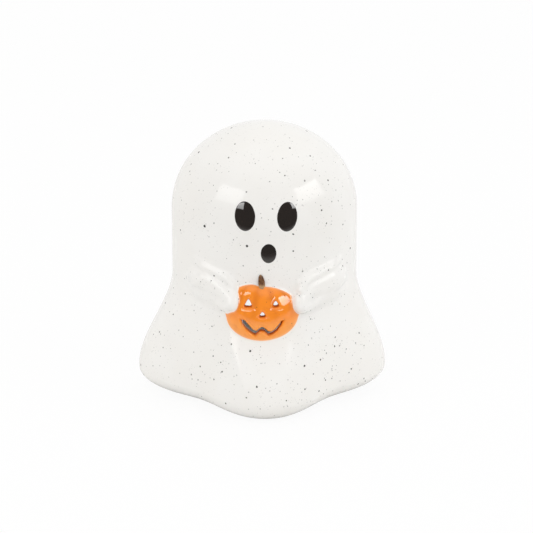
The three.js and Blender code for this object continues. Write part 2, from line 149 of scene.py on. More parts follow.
def sheet_plan(x, y, z, inset):
    """Distance from the axis, the sheet's own radius, and how far its foot is tucked in."""
    flare = smooth_step((FLARE_TOP - z) / (FLARE_TOP - HEM_HEIGHT))
    a = (HEAD_WIDTH + (HEM_WIDTH - HEAD_WIDTH) * flare) / 2 - inset
    b = (HEAD_DEPTH + (HEM_DEPTH - HEAD_DEPTH) * flare) / 2 - inset
    x = x - SKIRT_SHIFT * flare
    out = np.hypot(x, y) + 1e-9
    cosine, sine = x / out, y / out
    oval = a * b / np.hypot(b * cosine, a * sine)
    valley = 4 * (cosine * sine) ** 2
    tuck = HEM_TUCK + SIDE_TUCK * cosine ** 2 + VALLEY_TUCK * valley
    return out, oval - FOLD_DEPTH * flare * valley, tuck


def sheet_field(x, y, z, inset, foot, corner_in, corner_up):
    """About the distance outside the sheet, drawn in by inset, its foot rounded in above a height."""
    out, radius, tuck = sheet_plan(x, y, z, inset)
    corner_in = tuck if corner_in is None else corner_in
    field = out - radius
    dome_base = GHOST_HEIGHT - DOME_RISE
    a, b, c = HEAD_WIDTH / 2 - inset, HEAD_DEPTH / 2 - inset, DOME_RISE - inset
    up = np.maximum(z - dome_base, 0)
    q = np.sqrt((x / a) ** 2 + (y / b) ** 2 + (up / c) ** 2) + 1e-9
    slope = np.sqrt((x / a ** 2) ** 2 + (y / b ** 2) ** 2 + (up / c ** 2) ** 2) + 1e-9
    field = np.where(z > dome_base, q * (q - 1) / slope, field)
    rise = (foot + corner_up - z) / corner_up
    reach = np.maximum(out - radius + corner_in, 0) / corner_in
    q = np.hypot(rise, reach) + 1e-9
    slope = np.hypot(rise / corner_up, reach / corner_in) + 1e-9
    return np.where(rise > 0, q * (q - 1) / slope, field)


# The soft ridge down the left of the front fold, where its flatter front bends to its side: the place
# across and the height of its two ends, how far it stands out, and how it runs out to the sides, up and down
RIDGE_TOP = (-14.4, 31.5)
RIDGE_LOW = (-9.8, 17.0)
RIDGE_RISE = 1.4
RIDGE_WIDTH = 5.0
RIDGE_ROUNDING = 1.0
RIDGE_REACH_UP = 14.0
RIDGE_FADE_UP = 18.0
RIDGE_REACH_DOWN = 8.0
RIDGE_FADE_DOWN = 9.0


def ridge_height(x, y, z):
    """How far the ridge raises the sheet's front."""
    top_x, top_z = RIDGE_TOP
    low_x, low_z = RIDGE_LOW
    share = np.clip((top_z - z) / (top_z - low_z), 0, 1)
    offset = x - (top_x + (low_x - top_x) * share)
    upper = smooth_step((top_z + RIDGE_REACH_UP - z) / RIDGE_FADE_UP)
    lower = smooth_step((z - low_z + RIDGE_REACH_DOWN) / RIDGE_FADE_DOWN)
    gap = np.hypot(offset, RIDGE_ROUNDING) - RIDGE_ROUNDING
    return np.where(y < 0, RIDGE_RISE * (upper * lower) * np.exp(-gap / RIDGE_WIDTH), 0)


def outer_sheet(x, y, z):
    return sheet_field(x, y, z, 0, 0, None, HEM_HEIGHT) - ridge_height(x, y, z)


def front_point(x, z):
    """The points of the sheet's front at places across and up."""
    x, z = np.broadcast_arrays(np.asarray(x, float), np.asarray(z, float))
    near, far = np.zeros(x.shape), np.full(x.shape, HEM_DEPTH)
    for _ in range(40):
        middle = (near + far) / 2
        inside = outer_sheet(x, -middle, z) < 0
        near = np.where(inside, middle, near)
        far = np.where(inside, far, middle)
    return np.stack([x, -near, z], -1)


def front_normal(x, z):
    reach = 0.5
    across = front_point(x + reach, z) - front_point(x - reach, z)
    up = front_point(x, z + reach) - front_point(x, z - reach)
    normal = np.cross(across, up)
    return normal / np.linalg.norm(normal, axis=-1, keepdims=True)


def smooth_path(stations, steps):
    """Points and radii along a smooth curve through the stations (Catmull-Rom)."""
    table = np.array([[*centre, radius] for centre, radius in stations])
    padded = np.vstack([2 * table[0] - table[1], table, 2 * table[-1] - table[-2]])
    rows = []
    for k in range(len(table) - 1):
        p0, p1, p2, p3 = padded[k:k + 4]
        for t in np.arange(steps) / steps:
            rows.append(0.5 * (2 * p1 + (p2 - p0) * t + (2 * p0 - 5 * p1 + 4 * p2 - p3) * t ** 2
                               + (3 * p1 - p0 - 3 * p2 + p3) * t ** 3))
    rows.append(table[-1])
    return np.array(rows)


def relief_station(x, z, radius, proud):
    """A round form's centre, so deep in the sheet that it stands proud by a given height."""
    return front_point(x, z) + front_normal(x, z) * (proud - radius), radius


# Each arm's main ridge, from the sleeve's end to the fingers: place across, height, radius, and how far it
# stands off the sheet. The folds and cuffs below are given in the same way
LEFT_ARM = [
    (-28.8, 52.4, 6.0, 0.7),
    (-27.0, 53.6, 6.0, 2.3),
    (-24.9, 54.1, 6.0, 3.0),
    (-22.5, 53.1, 6.0, 2.7),
    (-20.4, 52.3, 5.8, 2.7),
    (-18.1, 51.4, 5.2, 3.0),
    (-16.1, 50.3, 4.5, 3.4),
    (-14.3, 49.3, 3.9, 4.1),
    (-13.3, 48.1, 3.5, 4.7),
    (-13.1, 46.9, 3.0, 5.2),
]
RIGHT_ARM = [
    (30.0, 52.4, 6.0, 0.7),
    (28.0, 53.3, 6.8, 2.3),
    (25.6, 53.0, 7.4, 3.2),
    (23.0, 52.4, 7.4, 2.9),
    (20.1, 52.0, 6.8, 2.8),
    (17.4, 51.3, 6.0, 2.8),
    (14.8, 50.4, 4.8, 3.1),
    (13.3, 49.2, 3.9, 3.7),
    (12.5, 48.0, 3.4, 4.3),
    (12.1, 46.3, 3.0, 4.7),
]

# The fold along the upper side of each arm, which runs out on the hand
LEFT_FOLD = [
    (-27.4, 61.0, 1.5, 0.1),
    (-25.7, 60.2, 1.6, 1.1),
    (-23.6, 59.2, 1.8, 1.3),
    (-21.0, 58.2, 1.9, 1.1),
    (-18.2, 57.2, 1.9, 1.2),
    (-15.6, 56.3, 1.9, 1.5),
    (-13.8, 54.2, 2.1, 2.0),
    (-13.2, 51.0, 2.3, 2.7),
]
RIGHT_FOLD = [
    (28.6, 60.3, 1.6, 0.1),
    (27.0, 59.8, 1.8, 1.2),
    (24.2, 58.6, 2.1, 1.7),
    (21.8, 57.8, 2.2, 1.6),
    (19.2, 57.0, 2.2, 1.7),
    (16.1, 56.2, 2.1, 2.1),
    (14.0, 54.8, 2.0, 2.6),
    (12.8, 52.2, 2.0, 3.4),
]

# The cuff along the lower side of each arm
LEFT_CUFF = [
    (-28.8, 50.0, 4.2, 0.4),
    (-25.8, 49.2, 5.0, 1.6),
    (-22.4, 48.9, 5.0, 1.9),
    (-19.4, 48.1, 4.6, 2.3),
    (-17.0, 46.8, 3.9, 3.0),
    (-14.8, 46.0, 3.2, 4.0),
]
RIGHT_CUFF = [
    (29.6, 49.4, 4.2, 0.4),
    (26.6, 48.8, 4.8, 1.5),
    (22.8, 48.4, 4.8, 1.9),
    (19.0, 47.4, 4.4, 2.3),
    (15.6, 46.2, 3.8, 3.0),
    (13.0, 45.6, 3.1, 4.0),
]
ARM_PATHS = [
    smooth_path([relief_station(*row) for row in rows], 3)
    for rows in (LEFT_ARM, RIGHT_ARM, LEFT_FOLD, RIGHT_FOLD, LEFT_CUFF, RIGHT_CUFF)
]


def tube_field(points, path):
    """About the distance outside a round tube whose radius changes along its path."""
    field = np.full(len(points), 1e3)
    for start, end in zip(path[:-1], path[1:]):
        run = end[:3] - start[:3]
        share = np.clip((points - start[:3]) @ run / (run @ run), 0, 1)
        gap = points - start[:3] - share[:, None] * run
        radius = start[3] + share * (end[3] - start[3])
        field = np.minimum(field, np.sqrt((gap * gap).sum(1)) - radius)
    return field


# The broad flat place over the pumpkin's right eye: the bearing and height that it faces, and its distance
# from the pumpkin's centre
FACET_BEARING = math.radians(28.3)
FACET_HEIGHT = math.radians(25.0)
FACET_DISTANCE = 11.05
FACET_ROUNDING = 0.8
FACET_NORMAL = np.array([
    math.sin(FACET_BEARING) * math.cos(FACET_HEIGHT),
    -math.cos(FACET_BEARING) * math.cos(FACET_HEIGHT),
    math.sin(FACET_HEIGHT),
])


def pumpkin_field(points, grow, rib_depth):
    """About the distance outside the pumpkin, with its creases, crown dip, brow and flat place."""
    half = PUMPKIN_HALF + grow
    x, y, z = (points - PUMPKIN_CENTRE).T
    tall = np.where(z < 0, PUMPKIN_DEEP + grow, half[2])
    full = np.where(z < 0, PUMPKIN_FULLNESS_LOW, PUMPKIN_FULLNESS)
    profile = PUMPKIN_PROFILE
    across, back, up = np.abs(x) / half[0] + 1e-6, np.abs(y) / half[1] + 1e-6, np.abs(z) / tall + 1e-6
    outline = (across ** full + up ** full) ** (1 / full)
    q = (outline ** profile + back ** profile) ** (1 / profile)
    level = outline ** (profile - full)
    slope = q ** (1 - profile) * np.sqrt(
        (level * across ** (full - 1) / half[0]) ** 2 + (back ** (profile - 1) / half[1]) ** 2
        + (level * up ** (full - 1) / tall) ** 2)
    dip = np.exp(-((x - CROWN_DIP_X) / CROWN_DIP_WIDTH) ** 2) * smooth_step(z / half[2]) ** 2
    lobe = np.exp(-((x - LOBE_X) / LOBE_WIDTH) ** 4 - ((z - LOBE_Z) / LOBE_TALL) ** 2) * (y < 0)
    field = (q - 1) / slope + rib_depth * rib_crease(points) + CROWN_DIP * dip - LOBE_HEIGHT * lobe
    facet = (points - PUMPKIN_CENTRE) @ FACET_NORMAL - FACET_DISTANCE - grow
    return smooth_max(field, facet, FACET_ROUNDING)


def rib_crease(points):
    """1 in the bottom of a crease between two ribs, 0 on the ribs."""
    offset = (points - PUMPKIN_CENTRE) / PUMPKIN_HALF
    around = np.arctan2(offset[:, 1], offset[:, 0]) + math.pi / 2 - RIB_TURN
    up = offset[:, 2] / np.sqrt((offset ** 2).sum(1) + 1e-9)
    crease = np.abs(np.sin(around * PUMPKIN_RIBS / 2)) ** 5
    return crease * (0.1 + 0.9 * smooth_step((up + 0.1) / 0.9)) * np.sqrt(np.clip(1 - up ** 2, 0, 1))


# The carving, from the pumpkin's centre, across and up
CUT_TRIANGLES = [
    [(-5.7, 8.6), (-4.0, 4.8), (-7.9, 4.6)],
    [(4.8, 7.8), (6.6, 4.7), (3.2, 4.8)],
    [(-0.4, 4.0), (1.4, 1.1), (-2.2, 1.2)],
]
CUT_GRIN = [
    (-8.9, 0.0), (-7.3, -0.2), (-5.8, -1.8), (-4.1, -3.8), (-2.8, -4.3), (-1.6, -3.1), (-0.7, -2.4),
    (0.5, -3.0), (1.8, -4.4), (3.0, -4.8), (4.5, -3.8), (6.0, -2.0), (7.0, -0.7), (8.1, -0.3),
    (7.0, -2.7), (5.5, -4.8), (3.5, -6.3), (1.8, -6.8), (1.1, -5.8), (0.3, -4.9), (-0.6, -4.7),
    (-1.4, -4.9), (-2.4, -6.1), (-3.1, -6.8), (-4.8, -5.8), (-6.7, -4.2), (-8.2, -2.2),
]
GRIN_INSET = 0.1
CUT_TAPER = 0.1
CUT_CORNER = 1.0


def triangle_field(x, z, corners):
    """About the distance outside a round-cornered triangle, its corners in clockwise order."""
    field = np.full(x.shape, -1e3)
    for (ax, az), (bx, bz) in zip(corners, corners[1:] + corners[:1]):
        length = math.hypot(bx - ax, bz - az)
        out = ((x - ax) * (az - bz) + (z - az) * (bx - ax)) / length
        field = smooth_max(field, out, CUT_CORNER)
    return field


def polygon_field(x, z, corners):
    """Distance outside a polygon in the plane, less inside it."""
    corners = np.asarray(corners, float)
    nearest = np.full(x.shape, 1e9)
    inside = np.zeros(x.shape, bool)
    for (ax, az), (bx, bz) in zip(corners, np.roll(corners, -1, axis=0)):
        ex, ez = bx - ax, bz - az
        share = np.clip(((x - ax) * ex + (z - az) * ez) / (ex * ex + ez * ez), 0, 1)
        nearest = np.minimum(nearest, (x - ax - share * ex) ** 2 + (z - az - share * ez) ** 2)
        crosses = (az > z) != (bz > z)
        at = ax + (z - az) * ex / (ez if ez else 1e-12)
        inside ^= crosses & (x < at)
    return np.where(inside, -1, 1) * np.sqrt(nearest)


def cut_field(points):
    """About the distance outside the cuts, which narrow as they run back to the pumpkin's hollow."""
    x = points[:, 0] - PUMPKIN_CENTRE[0]
    z = points[:, 2] - PUMPKIN_CENTRE[2]
    field = polygon_field(x, z, CUT_GRIN) + GRIN_INSET
    for corners in CUT_TRIANGLES:
        field = np.minimum(field, triangle_field(x, z, corners))
    depth = np.maximum(-pumpkin_field(points, 0, 0), 0)
    return np.maximum(field + CUT_TAPER * depth, points[:, 1] - PUMPKIN_CENTRE[1])


def near(points, low, high, margin):
    """Which points lie in a box, or within a margin of it."""
    return ((points > low - margin) & (points < high + margin)).all(1)


# The room that holds both arms, and how far round the pumpkin its field is worked out
ARM_LOW = np.array([-34.0, -44.0, 36.0])
ARM_HIGH = np.array([34.0, -8.0, 64.0])
PUMPKIN_REACH = 9.0


def outside_fields(points):
    """The sheet, the arms and the pumpkin, each about the distance outside it."""
    x, y, z = points.T
    sheet = outer_sheet(x, y, z)
    arms = np.full(len(points), 1e3)
    close = near(points, ARM_LOW, ARM_HIGH, 4)
    for path in ARM_PATHS:
        arms[close] = smooth_min(arms[close], tube_field(points[close], path), HAND_FILLET)
    pumpkin = np.full(len(points), 1e3)
    close = near(points, PUMPKIN_CENTRE - PUMPKIN_HALF, PUMPKIN_CENTRE + PUMPKIN_HALF, PUMPKIN_REACH)
    pumpkin[close] = pumpkin_field(points[close], 0, RIB_DEPTH)
    return sheet, arms, pumpkin


def hollow_field(points):
    """The open inside: the chamber, the arch in the back and the pumpkin's hollow."""
    x, y, z = points.T
    field = sheet_field(x, y, z, CAST_WALL, FLOOR_TOP, FLOOR_CORNER, FLOOR_CORNER)
    springing = FLOOR_TOP + ARCH_HEIGHT - ARCH_HALF_WIDTH
    over = np.hypot(x, z - springing) - ARCH_HALF_WIDTH
    under = np.maximum(np.abs(x) - ARCH_HALF_WIDTH, FLOOR_TOP - z)
    arch = np.maximum(np.where(z > springing, over, under), -y)
    field = smooth_min(field, arch, ARCH_ROUNDING)
    close = near(points, PUMPKIN_CENTRE - PUMPKIN_HALF, PUMPKIN_CENTRE + PUMPKIN_HALF, PUMPKIN_REACH)
    hollow = np.full(len(points), 1e3)
    hollow[close] = pumpkin_field(points[close], -PUMPKIN_WALL, 0)
    return smooth_min(field, hollow, HOLLOW_ROUNDING)


def ceramic_field(points):
    """About the distance outside the whole casting, less than 0 in the clay."""
    sheet, arms, pumpkin = outside_fields(points)
    field = smooth_min(sheet, arms, SLEEVE_FILLET)
    field = smooth_min(field, pumpkin, PUMPKIN_FILLET)
    field = smooth_max(field, -hollow_field(points), RIM_ROUNDING)
    x, y, z = points.T
    out, radius, tuck = sheet_plan(x, y, np.zeros(len(points)), 0)
    recess = np.maximum(out - radius + tuck + FOOT_RING_WIDTH, z - FOOT_RECESS)
    field = smooth_max(field, -recess, FOOT_ROUNDING)
    close = near(points, PUMPKIN_CENTRE - PUMPKIN_HALF, PUMPKIN_CENTRE + PUMPKIN_HALF, 2)
    field[close] = smooth_max(field[close], -cut_field(points[close]), CUT_ROUNDING)
    return field


def gradient(function, points, reach=0.05):
    steps = np.eye(3) * reach
    return np.stack([function(points + s) - function(points - s) for s in steps], 1) / (2 * reach)


def grid_axis(low, high, fine_low, fine_high):
    """Grid planes along one axis, close together between the fine limits."""
    before = np.arange(fine_low, low - COARSE_STEP, -COARSE_STEP)[::-1]
    middle = np.arange(fine_low + FINE_STEP, fine_high, FINE_STEP)
    after = np.arange(middle[-1] + FINE_STEP, high + COARSE_STEP, COARSE_STEP)
    return np.concatenate([before, middle, after])


def surface_net(function, axes):
    """Points and four-sided faces of a field's zero surface on a grid, one point to each crossed cell."""
    shape = [len(axis) for axis in axes]
    grid = np.stack(np.meshgrid(*axes, indexing="ij"), -1).reshape(-1, 3)
    values = np.concatenate([function(part) for part in np.array_split(grid, 16)]).reshape(shape)
    inside = values < 0
    corner_steps = [(i, j, k) for i in (0, 1) for j in (0, 1) for k in (0, 1)]
    cells = [n - 1 for n in shape]
    count = sum(
        inside[i:i + cells[0], j:j + cells[1], k:k + cells[2]].astype(np.int8)
        for i, j, k in corner_steps
    )
    crossed = np.argwhere((count > 0) & (count < 8))
    number = np.full(cells, -1)
    number[tuple(crossed.T)] = np.arange(len(crossed))
    corners = [crossed + step for step in corner_steps]
    places = [np.stack([axes[a][c[:, a]] for a in range(3)], 1) for c in corners]
    at = [values[tuple(c.T)] for c in corners]
    total = np.zeros((len(crossed), 3))
    hits = np.zeros(len(crossed))
    for first in range(8):
        for axis_bit in (1, 2, 4):
            second = first | axis_bit
            if second == first:
                continue
            flips = (at[first] < 0) != (at[second] < 0)
            gap = np.where(flips, at[first] - at[second], 1)
            share = np.where(flips, at[first] / gap, 0)[:, None]
            total += flips[:, None] * (places[first] + share * (places[second] - places[first]))
            hits += flips
    points = total / hits[:, None]
    faces = []
    for axis in range(3):
        one, two = (axis + 1) % 3, (axis + 2) % 3
        step = np.eye(3, dtype=int)
        low = [slice(0, n) for n in shape]
        high = [slice(0, n) for n in shape]
        low[axis] = slice(0, shape[axis] - 1)
        high[axis] = slice(1, shape[axis])
        a_in, b_in = inside[tuple(low)], inside[tuple(high)]
        edges = np.argwhere(a_in != b_in)
        kept = (edges[:, one] > 0) & (edges[:, two] > 0)
        kept &= (edges[:, one] < cells[one]) & (edges[:, two] < cells[two])
        edges = edges[kept]
        ring = [edges - step[one] - step[two], edges - step[two], edges, edges - step[one]]
        quad = np.stack([number[tuple(r.T)] for r in ring], 1)
        turned = ~a_in[tuple(edges.T)]
        quad[turned] = quad[turned][:, ::-1]
        faces.append(quad)
    return points, np.concatenate(faces)


def settle(function, points, rounds=4):
    """Moves points on to the field's zero surface."""
    for _ in range(rounds):
        slope = gradient(function, points)
        size = (slope ** 2).sum(1) + 1e-9
        step = (function(points) / size)[:, None] * slope
        length = np.linalg.norm(step, axis=1, keepdims=True)
        points = points - step * np.minimum(1, 0.3 / (length + 1e-9))
    return points


def split_faces(points, faces, zone):
    """Cuts faces along zone = 0. Gives the points with the new ones, and the faces of each side."""
    new_points = list(points)
    cut_at = {}

    def crossing(a, b):
        key = (min(a, b), max(a, b))
        if key not in cut_at:
            share = zone[a] / (zone[a] - zone[b])
            cut_at[key] = len(new_points)
            new_points.append(points[a] + share * (points[b] - points[a]))
        return cut_at[key]

    below = zone[faces] < 0
    sides = [faces[~below.any(1)].tolist(), faces[below.all(1)].tolist()]
    for face in faces[below.any(1) & ~below.all(1)]:
        for tri in ((face[0], face[1], face[2]), (face[0], face[2], face[3])):
            rings = ([], [])
            for a, b in zip(tri, tri[1:] + tri[:1]):
                rings[int(zone[a] < 0)].append(int(a))
                if (zone[a] < 0) != (zone[b] < 0):
                    middle = crossing(int(a), int(b))
                    rings[0].append(middle)
                    rings[1].append(middle)
            for side in (0, 1):
                if len(rings[side]) > 2:
                    sides[side].append(rings[side])
    return np.array(new_points), sides[0], sides[1]


def used_only(points, faces):
    """The faces with the points that they use, numbered afresh."""
    used = sorted({v for face in faces for v in face})
    renumber = {v: k for k, v in enumerate(used)}
    return points[used], [[renumber[v] for v in face] for face in faces]


def new_piece(name, points, faces, material, body, replaced, slot, smooth=True):
    """A mesh piece from points in millimetres, riding its body in place of its CAD nodes."""
    mesh = bpy.data.meshes.new(name)
    mesh.from_pydata((np.asarray(points) * MM).tolist(), [], [list(map(int, f)) for f in faces])
    mesh.polygons.foreach_set("use_smooth", [smooth] * len(mesh.polygons))
    mesh.materials.append(material)
    piece = bpy.data.objects.new(name, mesh)
    bpy.context.collection.objects.link(piece)
    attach(piece, body)
    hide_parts(*replaced)
    return piece


def close_seam(piece):
    """Bridges the open edges of the outer and inner skin, so that the piece is a closed body."""
    work = bmesh.new()
    work.from_mesh(piece.data)
    open_edges = [edge for edge in work.edges if edge.is_boundary]
    bmesh.ops.bridge_loops(work, edges=open_edges)
    work.to_mesh(piece.data)
    work.free()


def set_normals(piece, function):
    """Gives each point the field's own normal, so that a gloss runs evenly over the mesh."""
    mesh = piece.data
    points = np.empty(len(mesh.vertices) * 3)
    mesh.vertices.foreach_get("co", points)
    slope = gradient(function, points.reshape(-1, 3) / MM)
    slope /= np.linalg.norm(slope, axis=1, keepdims=True) + 1e-9
    mesh.normals_split_custom_set_from_vertices(slope.tolist())


def set_values(piece, name, function):
    """Stores a value for each point, for the materials to read."""
    mesh = piece.data
    points = np.empty(len(mesh.vertices) * 3)
    mesh.vertices.foreach_get("co", points)
    values = function(points.reshape(-1, 3) / MM)
    mesh.attributes.new(name, "FLOAT", "POINT").data.foreach_set("value", values.astype(np.float32))


def new_material(name, color, roughness):
    """A material with one Principled shader. Gives the material, its tree and the shader."""
    material = bpy.data.materials.new(name)
    material.use_nodes = True
    tree = material.node_tree
    shader = tree.nodes["Principled BSDF"]
    shader.inputs["Base Color"].default_value = (*color, 1)
    shader.inputs["Roughness"].default_value = roughness
    return material, tree, shader


def put(tree, socket, value):
    """Sets a socket to a number or colour, or links another socket to it."""
    if isinstance(value, bpy.types.NodeSocket):
        tree.links.new(value, socket)
    else:
        socket.default_value = value


def math_node(tree, operation, *values):
    node = tree.nodes.new("ShaderNodeMath")
    node.operation = operation
    for socket, value in zip(node.inputs, values):
        put(tree, socket, value)
    return node.outputs[0]


def ramp(tree, value, start, end, low=0.0, high=1.0):
    """A smooth step of a value from low to high."""
    node = tree.nodes.new("ShaderNodeMapRange")
    node.interpolation_type = "SMOOTHSTEP"
    for name, setting in (("Value", value), ("From Min", start), ("From Max", end),
                          ("To Min", low), ("To Max", high)):
        put(tree, node.inputs[name], setting)
    return node.outputs[0]


def mix_color(tree, share, first, second):
    node = tree.nodes.new("ShaderNodeMix")
    node.data_type = "RGBA"
    for socket, value in ((node.inputs[0], share), (node.inputs[6], first), (node.inputs[7], second)):
        put(tree, socket, (*value, 1) if isinstance(value, tuple) and len(value) == 3 else value)
    return node.outputs[2]


def mix_value(tree, share, first, second):
    """The first number where the share is 0, the second where it is 1."""
    node = tree.nodes.new("ShaderNodeMix")
    for socket, value in zip((node.inputs[0], node.inputs[2], node.inputs[3]), (share, first, second)):
        put(tree, socket, value)
    return node.outputs[0]


def coordinate(tree, vector, axis):
    """One coordinate of a place or a direction."""
    node = tree.nodes.new("ShaderNodeSeparateXYZ")
    put(tree, node.inputs[0], vector)
    return node.outputs[axis]


def vector_node(tree, operation, *values):
    """A sum on vectors. Gives the node's outputs."""
    node = tree.nodes.new("ShaderNodeVectorMath")
    node.operation = operation
    for socket, value in zip(node.inputs, values):
        put(tree, socket, value)
    return node.outputs


def place_in_mm(tree):
    """The place on the object, in millimetres."""
    coordinates = tree.nodes.new("ShaderNodeTexCoord")
    scaled = tree.nodes.new("ShaderNodeVectorMath")
    scaled.operation = "SCALE"
    put(tree, scaled.inputs[0], coordinates.outputs["Object"])
    scaled.inputs["Scale"].default_value = 1 / MM
    return scaled.outputs[0]


def noise(tree, place, size, detail=2.0):
    """Soft noise round 0.5 whose blobs are about a given size in millimetres."""
    node = tree.nodes.new("ShaderNodeTexNoise")
    put(tree, node.inputs["Vector"], place)
    node.inputs["Scale"].default_value = 1 / size
    node.inputs["Detail"].default_value = detail
    return node.outputs[0]


def stored(tree, name):
    """A value that the mesh holds for each point."""
    node = tree.nodes.new("ShaderNodeAttribute")
    node.attribute_name = name
    return node.outputs["Fac"]


def bump(tree, shader, height, distance):
    node = tree.nodes.new("ShaderNodeBump")
    node.inputs["Distance"].default_value = distance * MM
    put(tree, node.inputs["Height"], height)
    put(tree, shader.inputs["Normal"], node.outputs[0])


def new_group(name, inputs, outputs):
    """An empty node group. Gives the group, its inputs by name and its output node."""
    group = bpy.data.node_groups.new(name, "ShaderNodeTree")
    for label, value in inputs.items():
        socket = group.interface.new_socket(label, in_out="INPUT", socket_type="NodeSocketFloat")
        socket.default_value = value
    for label in outputs:
        group.interface.new_socket(label, in_out="OUTPUT", socket_type="NodeSocketFloat")
    return group, group.nodes.new("NodeGroupInput").outputs, group.nodes.new("NodeGroupOutput").inputs


def use_group(tree, group, **values):
    node = tree.nodes.new("ShaderNodeGroup")
    node.node_tree = group
    for label, value in values.items():
        put(tree, node.inputs[label.replace("_", " ")], value)
    return node.outputs


# Layers of iron specks in the glaze: size of the cells that each hold one, greatest radius, share used,
# and the least depth of colour with what chance adds to it
SPECK_LAYERS = [
    (6.0, 0.62, 0.75, 0.9, 0.1),
    (3.2, 0.42, 0.75, 0.6, 0.4),
    (1.8, 0.27, 0.9, 0.35, 0.4),
    (1.0, 0.17, 0.8, 0.15, 0.3),
]
SPECK_LAYER_SHIFT = 13.7

# How far the specks' outlines stray, in millimetres, and how often they do so in one
SPECK_STRAY = 0.45
SPECK_STRAY_SCALE = 1.6


def speck_layer(tree, place, offset, cell, radius, share, least, varied):
    """Irregular dots, one to a cell at most, in sizes and depths that vary."""
    moved = vector_node(tree, "ADD", place, (offset, -offset, 2 * offset))[0]
    cells = tree.nodes.new("ShaderNodeTexVoronoi")
    put(tree, cells.inputs["Vector"], moved)
    cells.inputs["Scale"].default_value = 1 / cell
    chance = tree.nodes.new("ShaderNodeSeparateColor")
    put(tree, chance.inputs[0], cells.outputs["Color"])
    size = math_node(tree, "MULTIPLY_ADD", chance.outputs[0], 0.5, 0.5)
    edge = math_node(tree, "MULTIPLY", size, radius / cell)
    gap = math_node(tree, "DIVIDE", cells.outputs["Distance"], edge)
    dot = ramp(tree, gap, 1.08, 0.75)
    used = math_node(tree, "LESS_THAN", chance.outputs[1], share)
    depth = math_node(tree, "MULTIPLY_ADD", chance.outputs[2], varied, least)
    return math_node(tree, "MULTIPLY", math_node(tree, "MULTIPLY", dot, used), depth)


def make_speck_group():
    """Iron specks of several sizes, thicker in some patches than in others."""
    group, inputs, outputs = new_group("iron_specks", {"Density": 1.0}, ["Mask"])
    place = place_in_mm(group)
    ragged = group.nodes.new("ShaderNodeTexNoise")
    put(group, ragged.inputs["Vector"], place)
    ragged.inputs["Scale"].default_value = SPECK_STRAY_SCALE
    strayed = vector_node(group, "MULTIPLY_ADD", ragged.outputs["Color"], (SPECK_STRAY,) * 3, place)[0]
    patches = ramp(group, noise(group, place, 14), 0.38, 0.6, 0.4, 1.35)
    lower = ramp(group, coordinate(group, place, "Z"), 70.0, 25.0, 0.8, 1.15)
    share = math_node(group, "MULTIPLY", math_node(group, "MULTIPLY", patches, lower), inputs["Density"])
    mask = 0.0
    for k, (cell, radius, used, least, varied) in enumerate(SPECK_LAYERS):
        layer_share = math_node(group, "MULTIPLY", share, used)
        offset = SPECK_LAYER_SHIFT * k
        layer = speck_layer(group, strayed, offset, cell, radius, layer_share, least, varied)
        mask = math_node(group, "MAXIMUM", mask, layer)
    put(group, outputs["Mask"], mask)
    return group


def make_glaze_group():
    """The unevenness of a fired glaze: its gloss, its tone, and the slow waves of its surface."""
    group, inputs, outputs = new_group(
        "fired_glaze", {"Roughness": 0.12}, ["Roughness", "Tone", "Waves"])
    place = place_in_mm(group)
    gloss = math_node(group, "MULTIPLY_ADD", noise(group, place, 9), 0.5, 0.75)
    put(group, outputs["Roughness"], math_node(group, "MULTIPLY", gloss, inputs["Roughness"]))
    put(group, outputs["Tone"], ramp(group, noise(group, place, 22), 0.3, 0.7))
    put(group, outputs["Waves"], noise(group, place, 7, 1.0))
    return group


SPECKS = make_speck_group()
GLAZE = make_glaze_group()

SPECK_COLOR = (0.022, 0.02, 0.018)
WHITE_GLAZE_COLOR = (0.87, 0.855, 0.825)

# The bare clay under the foot ring, wiped clean of glaze up to a height
BISQUE_COLOR = (0.78, 0.72, 0.62)
BISQUE_ROUGHNESS = 0.75
BARE_FOOT = 0.25


def make_white_glaze():
    """White glaze with iron specks, a blush where it meets the orange, and bare clay under the foot."""
    material, tree, shader = new_material("white_speckled_glaze", WHITE_GLAZE_COLOR, 0.12)
    shader.inputs["IOR"].default_value = 1.25
    glaze = use_group(tree, GLAZE, Roughness=0.055)
    specks = use_group(tree, SPECKS, Density=1.0)["Mask"]
    color = mix_color(tree, glaze["Tone"], (0.878, 0.865, 0.838), (0.862, 0.845, 0.812))
    color = mix_color(tree, stored(tree, "blush"), color, (0.95, 0.66, 0.48))
    color = mix_color(tree, specks, color, SPECK_COLOR)
    bare = ramp(tree, coordinate(tree, place_in_mm(tree), "Z"), BARE_FOOT + 0.1, BARE_FOOT - 0.1)
    put(tree, shader.inputs["Base Color"], mix_color(tree, bare, color, BISQUE_COLOR))
    put(tree, shader.inputs["Roughness"], mix_value(tree, bare, glaze["Roughness"], BISQUE_ROUGHNESS))
    bump(tree, shader, glaze["Waves"], 0.05)
    return material


